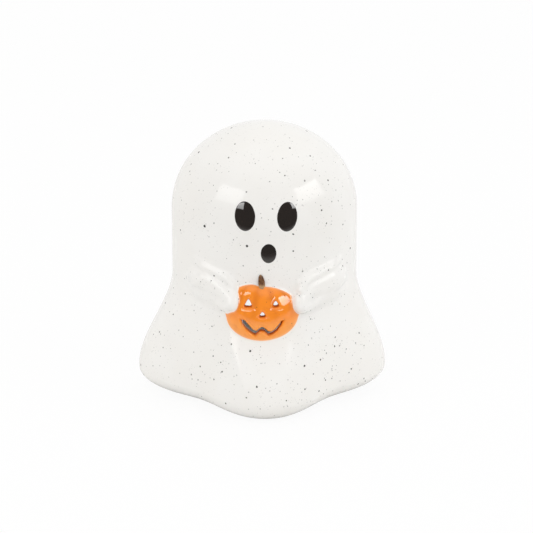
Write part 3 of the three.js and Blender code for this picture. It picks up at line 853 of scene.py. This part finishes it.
def make_orange_glaze():
    """Brushed orange glaze with painted shade in its creases and a painted reflection low down, thin along
    its edge and white in the hollow.
    """
    material, tree, shader = new_material("orange_glaze", (0.92, 0.26, 0.016), 0.1)
    shader.inputs["IOR"].default_value = 1.6
    glaze = use_group(tree, GLAZE, Roughness=0.06)
    specks = use_group(tree, SPECKS, Density=0.5)["Mask"]
    place = place_in_mm(tree)
    color = mix_color(tree, glaze["Tone"], (0.96, 0.275, 0.018), (0.92, 0.245, 0.014))
    # Lighter orange towards the bottom: a painted reflection of the pale table below.
    lower = ramp(tree, coordinate(tree, place, "Z"), 44.0, 39.0)
    color = mix_color(tree, lower, color, (0.985, 0.335, 0.04))
    brushed = ramp(tree, noise(tree, place, 3.5, 3.0), 0.5, 0.72)
    color = mix_color(tree, math_node(tree, "MULTIPLY", brushed, 0.35), color, (0.72, 0.19, 0.03))
    # Darker orange in the rib creases: painted shade.
    color = mix_color(tree, stored(tree, "crease"), color, (0.62, 0.13, 0.006))
    color = mix_color(tree, stored(tree, "thin"), color, (0.95, 0.56, 0.33))
    color = mix_color(tree, math_node(tree, "MULTIPLY", specks, 0.7), color, (0.2, 0.05, 0.01))
    # Darker, redder orange deeper in the carving's walls: partly thicker glaze, partly painted shade.
    color = mix_color(tree, stored(tree, "cut"), color, (0.72, 0.17, 0.025))
    color = mix_color(tree, stored(tree, "inside"), color, WHITE_GLAZE_COLOR)
    put(tree, shader.inputs["Base Color"], color)
    put(tree, shader.inputs["Roughness"], glaze["Roughness"])
    bump(tree, shader, glaze["Waves"], 0.06)
    return material


def make_black_enamel():
    material, tree, shader = new_material("black_enamel", (0.012, 0.0075, 0.005), 0.06)
    shader.inputs["IOR"].default_value = 1.68
    glaze = use_group(tree, GLAZE, Roughness=0.05)
    color = mix_color(tree, glaze["Tone"], (0.0135, 0.0085, 0.0060), (0.0105, 0.0065, 0.0045))
    put(tree, shader.inputs["Base Color"], color)
    put(tree, shader.inputs["Roughness"], glaze["Roughness"])
    return material


def make_bronze_glaze():
    """Streaky bronze glaze, worn to a pale tan at the foot and the tip."""
    material, tree, shader = new_material("bronze_glaze", (0.14, 0.075, 0.03), 0.25)
    shader.inputs["IOR"].default_value = 1.35
    glaze = use_group(tree, GLAZE, Roughness=0.25)
    place = place_in_mm(tree)
    streaks = ramp(tree, noise(tree, place, 0.9, 3.0), 0.35, 0.65)
    color = mix_color(tree, streaks, (0.085, 0.034, 0.012), (0.21, 0.092, 0.034))
    color = mix_color(tree, stored(tree, "worn"), color, (0.50, 0.33, 0.17))
    put(tree, shader.inputs["Base Color"], color)
    put(tree, shader.inputs["Roughness"], glaze["Roughness"])
    bump(tree, shader, streaks, 0.03)
    return material


def make_cup_aluminium():
    """Drawn aluminium with marks that run up its wall."""
    material, tree, shader = new_material("cup_aluminium", (0.83, 0.84, 0.86), 0.3)
    shader.inputs["Metallic"].default_value = 1.0
    place = place_in_mm(tree)
    draw_marks = noise(tree, vector_node(tree, "MULTIPLY", place, (1, 1, 0.12))[0], 0.6, 3.0)
    put(tree, shader.inputs["Roughness"], ramp(tree, draw_marks, 0.3, 0.7, 0.22, 0.38))
    color = mix_color(tree, draw_marks, (0.78, 0.79, 0.81), (0.88, 0.89, 0.90))
    put(tree, shader.inputs["Base Color"], color)
    bump(tree, shader, draw_marks, 0.03)
    return material


def make_white_wax():
    material, tree, shader = new_material("white_wax", (0.9, 0.88, 0.83), 0.42)
    shader.inputs["Subsurface Weight"].default_value = 0.25
    shader.inputs["Subsurface Radius"].default_value = (1.0, 0.9, 0.7)
    shader.inputs["Subsurface Scale"].default_value = 1.5 * MM
    place = place_in_mm(tree)
    frost = noise(tree, place, 2.5, 4.0)
    color = mix_color(tree, frost, (0.86, 0.84, 0.79), (0.93, 0.915, 0.87))
    put(tree, shader.inputs["Base Color"], color)
    put(tree, shader.inputs["Roughness"], ramp(tree, frost, 0.3, 0.7, 0.34, 0.5))
    bump(tree, shader, frost, 0.05)
    return material


def make_tab_steel():
    material, tree, shader = new_material("tab_steel", (0.6, 0.61, 0.62), 0.35)
    shader.inputs["Metallic"].default_value = 1.0
    grain = noise(tree, place_in_mm(tree), 0.4, 3.0)
    put(tree, shader.inputs["Base Color"], mix_color(tree, grain, (0.54, 0.55, 0.56), (0.66, 0.67, 0.68)))
    put(tree, shader.inputs["Roughness"], ramp(tree, grain, 0.3, 0.7, 0.28, 0.45))
    return material


def make_wick_cotton():
    material, tree, shader = new_material("wick_cotton", (0.84, 0.8, 0.7), 0.85)
    shader.inputs["Sheen Weight"].default_value = 0.3
    fibres = noise(tree, place_in_mm(tree), 0.25, 4.0)
    put(tree, shader.inputs["Base Color"], mix_color(tree, fibres, (0.74, 0.70, 0.60), (0.9, 0.87, 0.78)))
    put(tree, shader.inputs["Roughness"], ramp(tree, fibres, 0.3, 0.7, 0.78, 0.92))
    bump(tree, shader, fibres, 0.08)
    return material


# How strongly the glazes' stored values show, and how they run out, in millimetres: along the line between
# the white and the orange, and into the carving's depth
BLUSH_STRENGTH = 0.4
BLUSH_WIDTH = 0.2
THIN_STRENGTH = 0.7
THIN_WIDTH = 0.28
# How strongly the painted shade darkens the rib creases
PAINTED_CREASE_SHADE = 0.6
# Where the carving's walls turn darker, partly as painted shade, and over what depth
CUT_START = 0.7
CUT_FADE = 1.2
INSIDE_START = 3.2
INSIDE_FADE = 0.5

# The blush stays on the outer skin, within this depth of the sheet
BLUSH_DEPTH = 2


def zone_edge(points):
    """How far a point lies from the line between the white and the orange glaze, less in the orange."""
    sheet, arms, pumpkin = outside_fields(points)
    rim = WHITE_RIM * smooth_step((points[:, 2] - PUMPKIN_CENTRE[2] - WHITE_RIM_START) / WHITE_RIM_FADE)
    return pumpkin - np.minimum(sheet, arms) + rim


def make_casting():
    """The white sheet and the orange pumpkin, as one skin cut along the line between their glazes."""
    low = [-HEM_WIDTH / 2 - 2, -HEM_DEPTH / 2 - 1, -1]
    high = [HEM_WIDTH / 2 + 2, HEM_DEPTH / 2 + 1, GHOST_HEIGHT + 1]
    axes = [grid_axis(*limits) for limits in zip(low, high, RELIEF_LOW, RELIEF_HIGH)]
    points, faces = surface_net(ceramic_field, axes)
    points = settle(ceramic_field, points)
    points, white, orange = split_faces(points, faces, zone_edge(points))
    body = new_piece("ghost_sheet", *used_only(points, white), make_white_glaze(),
                     "ghost", ["ghost_body"], "white_glaze")
    pumpkin = new_piece("carved_pumpkin", *used_only(points, orange), make_orange_glaze(),
                        "ghost", ["pumpkin"], "orange_glaze")
    for piece in (body, pumpkin):
        close_seam(piece)
        set_normals(piece, ceramic_field)

    def blush(p):
        fading = np.exp(-np.maximum(zone_edge(p), 0) / BLUSH_WIDTH)
        return BLUSH_STRENGTH * fading * (outer_sheet(*p.T) > -BLUSH_DEPTH)

    def deeper(p, start, fade):
        return smooth_step((-pumpkin_field(p, 0, 0) - start) / fade)

    set_values(body, "blush", blush)
    set_values(pumpkin, "thin", lambda p: THIN_STRENGTH * np.exp(np.minimum(zone_edge(p), 0) / THIN_WIDTH))
    # The rib creases' painted shade
    set_values(pumpkin, "crease", lambda p: PAINTED_CREASE_SHADE * rib_crease(p))
    # The carving's darker walls, partly painted shade
    set_values(pumpkin, "cut", lambda p: deeper(p, CUT_START, CUT_FADE))
    set_values(pumpkin, "inside", lambda p: deeper(p, INSIDE_START, INSIDE_FADE))


def closed_tube(path, ring):
    """Points and faces of a closed tube. ring(k) gives each ring's points round the path."""
    points, faces = [], []
    size = len(ring(0))
    for k in range(len(path)):
        points.extend(ring(k))
    for k in range(len(path) - 1):
        for side in range(size):
            a, b = k * size + side, k * size + (side + 1) % size
            faces.append([a, b, b + size, a + size])
    faces.append(list(range(size))[::-1])
    faces.append([(len(path) - 1) * size + side for side in range(size)])
    return np.array(points), faces


def path_frames(path):
    """Two directions square to a path that rises, at each of its points."""
    tangent = np.gradient(path, axis=0)
    tangent /= np.linalg.norm(tangent, axis=1, keepdims=True)
    side = np.cross(np.tile([0.0, 1.0, 0.0], (len(path), 1)), tangent)
    side /= np.linalg.norm(side, axis=1, keepdims=True)
    return side, np.cross(tangent, side)


# The face's enamel: how far it rises, how deep it is bedded, and the share of its rise that is domed rather
# than flat with a rounded edge
ENAMEL_RISE = 0.4
ENAMEL_BEDDED = 0.3
ENAMEL_DOMED = 0.72

# The ovals: piece, node, place across and up, width, height, tilt in degrees
FACE = [
    ("left_eye_enamel", "left_eye", -8.84, 82.4, 7.9, 11.4, 0),
    ("right_eye_enamel", "right_eye", 7.55, 82.1, 7.9, 11.4, 2.6),
    ("mouth_enamel", "mouth", 0.27, 67.7, 6.1, 7.8, 0),
]


def enamel_oval(name, node, across, up, width, height, tilt_degrees):
    """A drop of enamel laid on the sheet, rounded over like a lens, its back bedded in the glaze."""
    spokes = 64
    shares = np.sin(np.linspace(0, math.pi / 2, 15)[1:])
    tilt = math.radians(tilt_degrees)
    around = np.arange(spokes) / spokes * 2 * math.pi

    def row(share, lift):
        u = width / 2 * share * np.cos(around)
        v = height / 2 * share * np.sin(around)
        x = across + u * math.cos(tilt) + v * math.sin(tilt)
        z = up - u * math.sin(tilt) + v * math.cos(tilt)
        return front_point(x, z) + front_normal(x, z) * lift

    def lens(share):
        flat = math.sqrt(max(1 - share ** 12, 0))
        return ENAMEL_RISE * (ENAMEL_DOMED * (1 - share ** 2) + (1 - ENAMEL_DOMED) * flat)

    rows = [row(share, lens(share)) for share in shares]
    rows.append(row(1.0, -ENAMEL_BEDDED))
    rows.append(row(0.5, -ENAMEL_BEDDED))
    points = np.vstack([row(0, lens(0))[:1], *rows, row(0, -ENAMEL_BEDDED)[:1]])
    faces = []
    for side in range(spokes):
        after = (side + 1) % spokes
        faces.append([0, 1 + side, 1 + after])
        for k in range(len(rows) - 1):
            a, b = 1 + k * spokes + side, 1 + k * spokes + after
            faces.append([a, a + spokes, b + spokes, b])
        last = 1 + (len(rows) - 1) * spokes
        faces.append([last + side, len(points) - 1, last + after])
    return new_piece(name, points, faces, BLACK_ENAMEL, "ghost", [node], "black_enamel")


# The stem from its foot to its tip: place across, height, radius, height of its middle off the sheet
STEM_STATIONS = [
    (-2.3, 53.4, 1.0, 0.5),
    (-2.4, 54.6, 1.18, 0.4),
    (-2.55, 56.2, 1.2, 0.3),
    (-2.75, 57.7, 0.95, 0.25),
    (-2.95, 59.1, 0.5, 0.2),
]
STEM_RIDGES = 5
STEM_RIDGE_DEPTH = 0.11

# Where the stem's glaze is worn: up to a height at its foot and from a height at its tip
FOOT_WORN_TO = 55.7
FOOT_WORN_FADE = 1.2
TIP_WORN_FROM = 58.6
TIP_WORN_FADE = 0.6


def make_stem():
    """A short ridged stem that leans on the sheet, its tip cut and rounded."""
    stations = []
    for across, up, radius, off in STEM_STATIONS:
        stations.append((front_point(across, up) + front_normal(across, up) * off, radius))
    path = smooth_path(stations, 6)
    side, front = path_frames(path[:, :3])
    around = np.arange(40) / 40 * 2 * math.pi
    count = len(path)

    def ring(k):
        share = k / (count - 1)
        ridges = 1 + STEM_RIDGE_DEPTH * np.cos(STEM_RIDGES * around + 1.6 * share)
        end = math.sqrt(max(1 - max((share - 0.86) / 0.15, 0) ** 2, 0.02))
        radius = path[k, 3] * ridges * end
        return (path[k, :3] + np.outer(radius * np.cos(around), side[k])
                + np.outer(radius * np.sin(around), front[k]))

    def worn(p):
        foot = smooth_step((FOOT_WORN_TO - p[:, 2]) / FOOT_WORN_FADE)
        tip = smooth_step((p[:, 2] - TIP_WORN_FROM) / TIP_WORN_FADE)
        return 0.9 * foot + 0.35 * tip

    points, faces = closed_tube(path, ring)
    piece = new_piece("pumpkin_stem_turned", points, faces, make_bronze_glaze(),
                      "ghost", ["pumpkin_stem"], "bronze_glaze")
    set_values(piece, "worn", worn)


def lathe(name, profile, sides, material, replaced, slot, ripple=None):
    """A closed revolved piece on the tealight's axis. ripple(angle, radius, height) shifts the radius."""
    profile = np.array(profile, float)
    around = np.arange(sides) / sides * 2 * math.pi
    points, faces, rings = [], [], []
    for radius, z in profile:
        if radius < 1e-6:
            rings.append([len(points)] * sides)
            points.append((0, 0, z))
            continue
        shifted = radius + (ripple(around, radius, z) if ripple else np.zeros(sides))
        rings.append(list(range(len(points), len(points) + sides)))
        points.extend(zip(shifted * np.cos(around), shifted * np.sin(around), np.full(sides, z)))
    closed = profile[0][0] > 1e-6
    pairs = list(zip(rings, rings[1:] + rings[:1])) if closed else list(zip(rings, rings[1:]))
    for low, high in pairs:
        for k in range(sides):
            after = (k + 1) % sides
            face = [low[k], low[after], high[after], high[k]]
            face = [v for n, v in enumerate(face) if v not in face[:n]]
            if len(face) > 2:
                faces.append(face)
    return new_piece(name, points, faces, material, "tealight", replaced, slot)


def arc(centre, radius, start, end, steps):
    """Points of an arc in a profile, its angles in degrees."""
    angles = np.radians(np.linspace(start, end, steps))
    return [(centre[0] + radius * math.cos(a), centre[1] + radius * math.sin(a)) for a in angles]


# The tealight, from its nodes
CUP_LOW, CUP_HIGH = node_box("tealight_cup")
WICK_LOW, WICK_HIGH = node_box("tealight_wick")
RIM_BEAD = 0.8
CUP_RADIUS = CUP_HIGH[0] - RIM_BEAD
CUP_FOOT = CUP_LOW[2]
CUP_RIM = CUP_HIGH[2]
FOIL = 0.35
WAX_TOP = CUP_FOOT + 12.6
WICK_RADIUS = 0.8


def make_tealight():
    """The pressed cup with its draw wrinkles and rolled rim, the wax and the braided wick."""
    bead = 0.42
    outer = CUP_RADIUS + RIM_BEAD - bead
    cup_profile = [
        (0, CUP_FOOT + 0.35), (12.2, CUP_FOOT + 0.35), (12.8, CUP_FOOT),
        *arc((CUP_RADIUS - 1.2, CUP_FOOT + 1.2), 1.2, -90, 0, 6),
        (CUP_RADIUS, CUP_FOOT + 6), (CUP_RADIUS + 0.08, CUP_RIM - 1.3),
        *arc((outer, CUP_RIM - bead), bead, -110, 150, 12),
        (CUP_RADIUS - FOIL, CUP_RIM - 0.8), (CUP_RADIUS - FOIL - 0.08, CUP_FOOT + 6),
        *arc((CUP_RADIUS - 1.2, CUP_FOOT + 1.2), 1.2 - FOIL, 0, -90, 5),
        (12.6, CUP_FOOT + FOIL), (12.0, CUP_FOOT + FOIL + 0.35), (0, CUP_FOOT + FOIL + 0.35),
    ]

    def wrinkles(around, radius, z):
        depth = 0.05 * smooth_step((radius - 15) / 2) * smooth_step((z - CUP_FOOT - 4) / 8)
        return depth * (np.sin(53 * around) + 0.6 * np.sin(31 * around + 1))

    lathe("tealight_cup_pressed", cup_profile, 240, make_cup_aluminium(),
          ["tealight_cup"], "cup_aluminium", wrinkles)
    wall = CUP_RADIUS - FOIL - 0.25
    tab_room = 6.3
    tab_top = CUP_FOOT + 1.6
    neck = 1.9
    neck_top = CUP_FOOT + 5.1
    wax_profile = [
        (tab_room, CUP_FOOT + 0.9), (wall - 1.4, CUP_FOOT + 0.9),
        *arc((wall - 1.2, CUP_FOOT + 2.1), 1.2, -90, 0, 5),
        (wall, WAX_TOP + 2.0), (wall - 0.3, WAX_TOP + 1.6), (wall - 0.9, WAX_TOP + 0.6),
        (wall - 2.2, WAX_TOP - 0.3), (wall - 5, WAX_TOP - 0.85), (8, WAX_TOP - 0.95),
        (4.5, WAX_TOP - 1.0), (3.0, WAX_TOP - 0.85), (2.0, WAX_TOP - 0.6), (1.4, WAX_TOP - 0.3),
        (1.05, WAX_TOP - 0.1), (1.05, neck_top), (neck, neck_top), (neck, tab_top), (tab_room, tab_top),
    ]
    lathe("tealight_wax_cast", wax_profile, 120, make_white_wax(), ["tealight_wax"], "white_wax")
    foot, top = WICK_LOW[2], WICK_HIGH[2]
    bend = WICK_HIGH[0] - WICK_RADIUS
    share = np.linspace(0, 1, 90)
    lean = bend * smooth_step((share - 0.62) / 0.38 * 0.75) / smooth_step(0.75)
    path = np.stack([lean, 0 * share, foot + (top - foot) * share], 1)
    side, front = path_frames(path)
    around = np.arange(36) / 36 * 2 * math.pi

    def ring(k):
        twist = 2 * math.pi * (path[k, 2] - foot) / 2.6
        strands = np.abs(np.cos(1.5 * around + twist)) + np.abs(np.cos(1.5 * around - twist))
        rounding = min(1.0, math.sqrt(max(1 - (max(share[k] - 0.97, 0) / 0.033) ** 2, 0.03)))
        radius = WICK_RADIUS * (0.80 + 0.1 * strands) * rounding
        return path[k] + np.outer(radius * np.cos(around), side[k]) + np.outer(
            radius * np.sin(around), front[k])

    points, faces = closed_tube(path, ring)
    new_piece("tealight_wick_braided", points, faces, make_wick_cotton(),
              "tealight", ["tealight_wick"], "wick_cotton")


def finish_wick_tab():
    """The pressed tab keeps the solid's own form and gets its steel."""
    materials = bpy.data.objects["wick_tab"].data.materials
    materials.clear()
    materials.append(make_tab_steel())


# The photograph's view: degrees up and round, distance, lens, the picture's side in pixels, and how far the
# object stands off its middle, in pixels
VIEW_UP = 18.0
VIEW_ROUND = -2.2
VIEW_DISTANCE = 950 * MM
VIEW_LENS = 158.5
PICTURE_SIDE = 533
PICTURE_SHIFT = (2.1, -11.2)


def make_camera():
    """A camera that sees the holder as the photograph does, from a little to the left."""
    elevation, azimuth = math.radians(VIEW_UP), math.radians(VIEW_ROUND)
    target = Vector((0, 0, GHOST_HEIGHT * MM / 2))
    away = Vector((math.sin(azimuth) * math.cos(elevation),
                   -math.cos(azimuth) * math.cos(elevation), math.sin(elevation)))
    data = bpy.data.cameras.new("camera")
    camera = bpy.data.objects.new("camera", data)
    bpy.context.collection.objects.link(camera)
    camera.location = target + away * VIEW_DISTANCE
    camera.rotation_euler = (-away).to_track_quat("-Z", "Y").to_euler()
    data.sensor_width = 36
    data.lens = VIEW_LENS
    data.shift_x = PICTURE_SHIFT[0] / PICTURE_SIDE
    data.shift_y = PICTURE_SHIFT[1] / PICTURE_SIDE
    data.clip_start = 0.01
    bpy.context.scene.camera = camera


# Lamps: name, bearing from the front and height in degrees, width and height in degrees, power, colour
LAMPS = [
    ("lamp_left", -48.5, 26.5, 34.5, 20.5, 1.2, (1.0, 0.985, 0.96)),
    ("lamp_right", 61.0, 27.0, 37.0, 21.5, 1.3, (0.985, 0.99, 1.0)),
]
LAMP_DISTANCE = 0.9

# The softboxes round the lamps as the gloss shows them: bearings and heights in degrees, strength
SOFTBOXES = [
    (-67.7, -29.3, 16.8, 36.8, 7.4),
    (40.4, 81.3, 16.4, 36.0, 9.3),
]
SOFTBOX_EDGE = 0.8
SOFTBOX_LOW_SHARE = 0.6

# The even light: its level, and what a direction to the right, up or back adds to it
AMBIENT = 0.78
AMBIENT_TO_RIGHT = 0.025
AMBIENT_FROM_ABOVE = 0.18
AMBIENT_FROM_BEHIND = 0.15

# The room in front as the gloss shows it: its level, and where it gives way to the white behind and above,
# as the y and z of a direction
DARK_ROOM = 0.2
ROOM_BACK = (0.4, -0.25)
ROOM_CEILING = (0.92, 0.6)


def make_lamps():
    target = Vector((0, 0, GHOST_HEIGHT * MM * 0.6))
    for name, bearing, height, wide, tall, power, color in LAMPS:
        bearing, height = math.radians(bearing), math.radians(height)
        away = Vector((math.sin(bearing) * math.cos(height),
                       -math.cos(bearing) * math.cos(height), math.sin(height)))
        data = bpy.data.lights.new(name, "AREA")
        data.shape = "RECTANGLE"
        data.size = 2 * LAMP_DISTANCE * math.tan(math.radians(wide / 2))
        data.size_y = 2 * LAMP_DISTANCE * math.tan(math.radians(tall / 2))
        data.energy = power
        data.color = color
        lamp = bpy.data.objects.new(name, data)
        bpy.context.collection.objects.link(lamp)
        lamp.location = target + away * LAMP_DISTANCE
        lamp.rotation_euler = away.to_track_quat("Z", "Y").to_euler()
        lamp.visible_glossy = False


def between(tree, value, start, end, edge):
    """1 where a value lies between two limits, with a soft edge at each."""
    rising = ramp(tree, value, start - edge, start + edge)
    falling = ramp(tree, value, end + edge, end - edge)
    return math_node(tree, "MULTIPLY", rising, falling)


def make_world():
    """White to the camera, even light on the object, and a dim room with two softboxes in its gloss."""
    world = bpy.data.worlds.new("studio")
    bpy.context.scene.world = world
    world.use_nodes = True
    tree = world.node_tree
    direction = tree.nodes.new("ShaderNodeTexCoord").outputs["Generated"]
    x, y, z = (coordinate(tree, direction, axis) for axis in "XYZ")
    front = ramp(tree, y, *ROOM_BACK)
    under_ceiling = ramp(tree, z, *ROOM_CEILING)
    dim = math_node(tree, "MULTIPLY", front, under_ceiling)
    room = math_node(tree, "MULTIPLY_ADD", dim, DARK_ROOM - 1, 1.0)
    bearing = math_node(tree, "ARCTAN2", x, math_node(tree, "MULTIPLY", y, -1.0))
    height = math_node(tree, "ARCSINE", z)
    edge = math.radians(SOFTBOX_EDGE)
    for *limits, strength in SOFTBOXES:
        start, end, low, high = (math.radians(limit) for limit in limits)
        across = between(tree, bearing, start, end, edge)
        up = between(tree, height, low, high, edge)
        fall = ramp(tree, height, low, high, strength * SOFTBOX_LOW_SHARE, strength)
        box = math_node(tree, "MULTIPLY", math_node(tree, "MULTIPLY", across, up), fall)
        room = math_node(tree, "ADD", room, box)
    even = math_node(tree, "MULTIPLY_ADD", x, AMBIENT_TO_RIGHT, AMBIENT)
    even = math_node(tree, "MULTIPLY_ADD", z, AMBIENT_FROM_ABOVE, even)
    behind = math_node(tree, "MAXIMUM", y, 0.0)
    even = math_node(tree, "MULTIPLY_ADD", behind, AMBIENT_FROM_BEHIND, even)
    light_path = tree.nodes.new("ShaderNodeLightPath")
    strength = mix_value(tree, light_path.outputs["Is Glossy Ray"], even, room)
    seen = math_node(tree, "MAXIMUM", light_path.outputs["Is Camera Ray"],
                     light_path.outputs["Is Transmission Ray"])
    background = tree.nodes["Background"]
    background.inputs["Color"].default_value = (1, 1, 1, 1)
    put(tree, background.inputs["Strength"], mix_value(tree, seen, strength, 1.0))


# The table, its reach in metres. Towards its front it dims to grey, except to the camera
TABLE_HALF_WIDTH = 0.8
TABLE_FRONT = -0.24
TABLE_BACK = 1.0
TABLE_COLOR = (0.88, 0.88, 0.875)
TABLE_DIM_START = -135.0
TABLE_DIM_END = -210.0
TABLE_DIM_COLOR = (0.2, 0.2, 0.2)

# How much of the object's shadow the camera sees, and how much of it in an oval behind the object, where
# the carving looks through on the table: its half sizes, its middle, and where its edge starts and ends
SHADOW_SEEN = 0.07
SHADOW_BEHIND = 1.0
BEHIND_HALF = (32, 48)
BEHIND_MIDDLE = 104
BEHIND_EDGE = (0.7, 1.1)


def make_floor():
    """A pale table, white to the camera but for a soft share of the object's shadow."""
    mesh = bpy.data.meshes.new("table")
    corners = [(x * TABLE_HALF_WIDTH, y, 0)
               for x, y in ((-1, TABLE_FRONT), (1, TABLE_FRONT), (1, TABLE_BACK), (-1, TABLE_BACK))]
    mesh.from_pydata(corners, [], [(0, 1, 2, 3)])
    floor = bpy.data.objects.new("table", mesh)
    bpy.context.collection.objects.link(floor)
    material, tree, shader = new_material("table_white", TABLE_COLOR, 0.6)
    mesh.materials.append(material)
    place = place_in_mm(tree)
    half_x, half_y = BEHIND_HALF
    spread = vector_node(tree, "MULTIPLY_ADD", place, (1 / half_x, 1 / half_y, 0),
                         (0, -BEHIND_MIDDLE / half_y, 0))[0]
    length = vector_node(tree, "LENGTH", spread)["Value"]
    share = ramp(tree, length, *BEHIND_EDGE, SHADOW_BEHIND, SHADOW_SEEN)
    near_share = ramp(tree, coordinate(tree, place, "Y"), TABLE_DIM_END, TABLE_DIM_START)
    share = math_node(tree, "MULTIPLY", share, near_share)
    put(tree, shader.inputs["Base Color"], mix_color(tree, near_share, TABLE_DIM_COLOR, TABLE_COLOR))
    light_path = tree.nodes.new("ShaderNodeLightPath")
    lit = tree.nodes.new("ShaderNodeEmission")
    lit.inputs["Strength"].default_value = 1.0
    blend = tree.nodes.new("ShaderNodeMixShader")
    hidden = math_node(tree, "SUBTRACT", 1.0, share)
    put(tree, blend.inputs[0], math_node(tree, "MULTIPLY", light_path.outputs["Is Camera Ray"], hidden))
    put(tree, blend.inputs[1], shader.outputs[0])
    put(tree, blend.inputs[2], lit.outputs[0])
    put(tree, tree.nodes["Material Output"].inputs["Surface"], blend.outputs[0])


BLACK_ENAMEL = make_black_enamel()

make_casting()
for oval in FACE:
    enamel_oval(*oval)
make_stem()
make_tealight()
finish_wick_tab()

make_floor()
make_lamps()
make_world()
make_camera()
bpy.context.scene.view_settings.view_transform = "Standard"
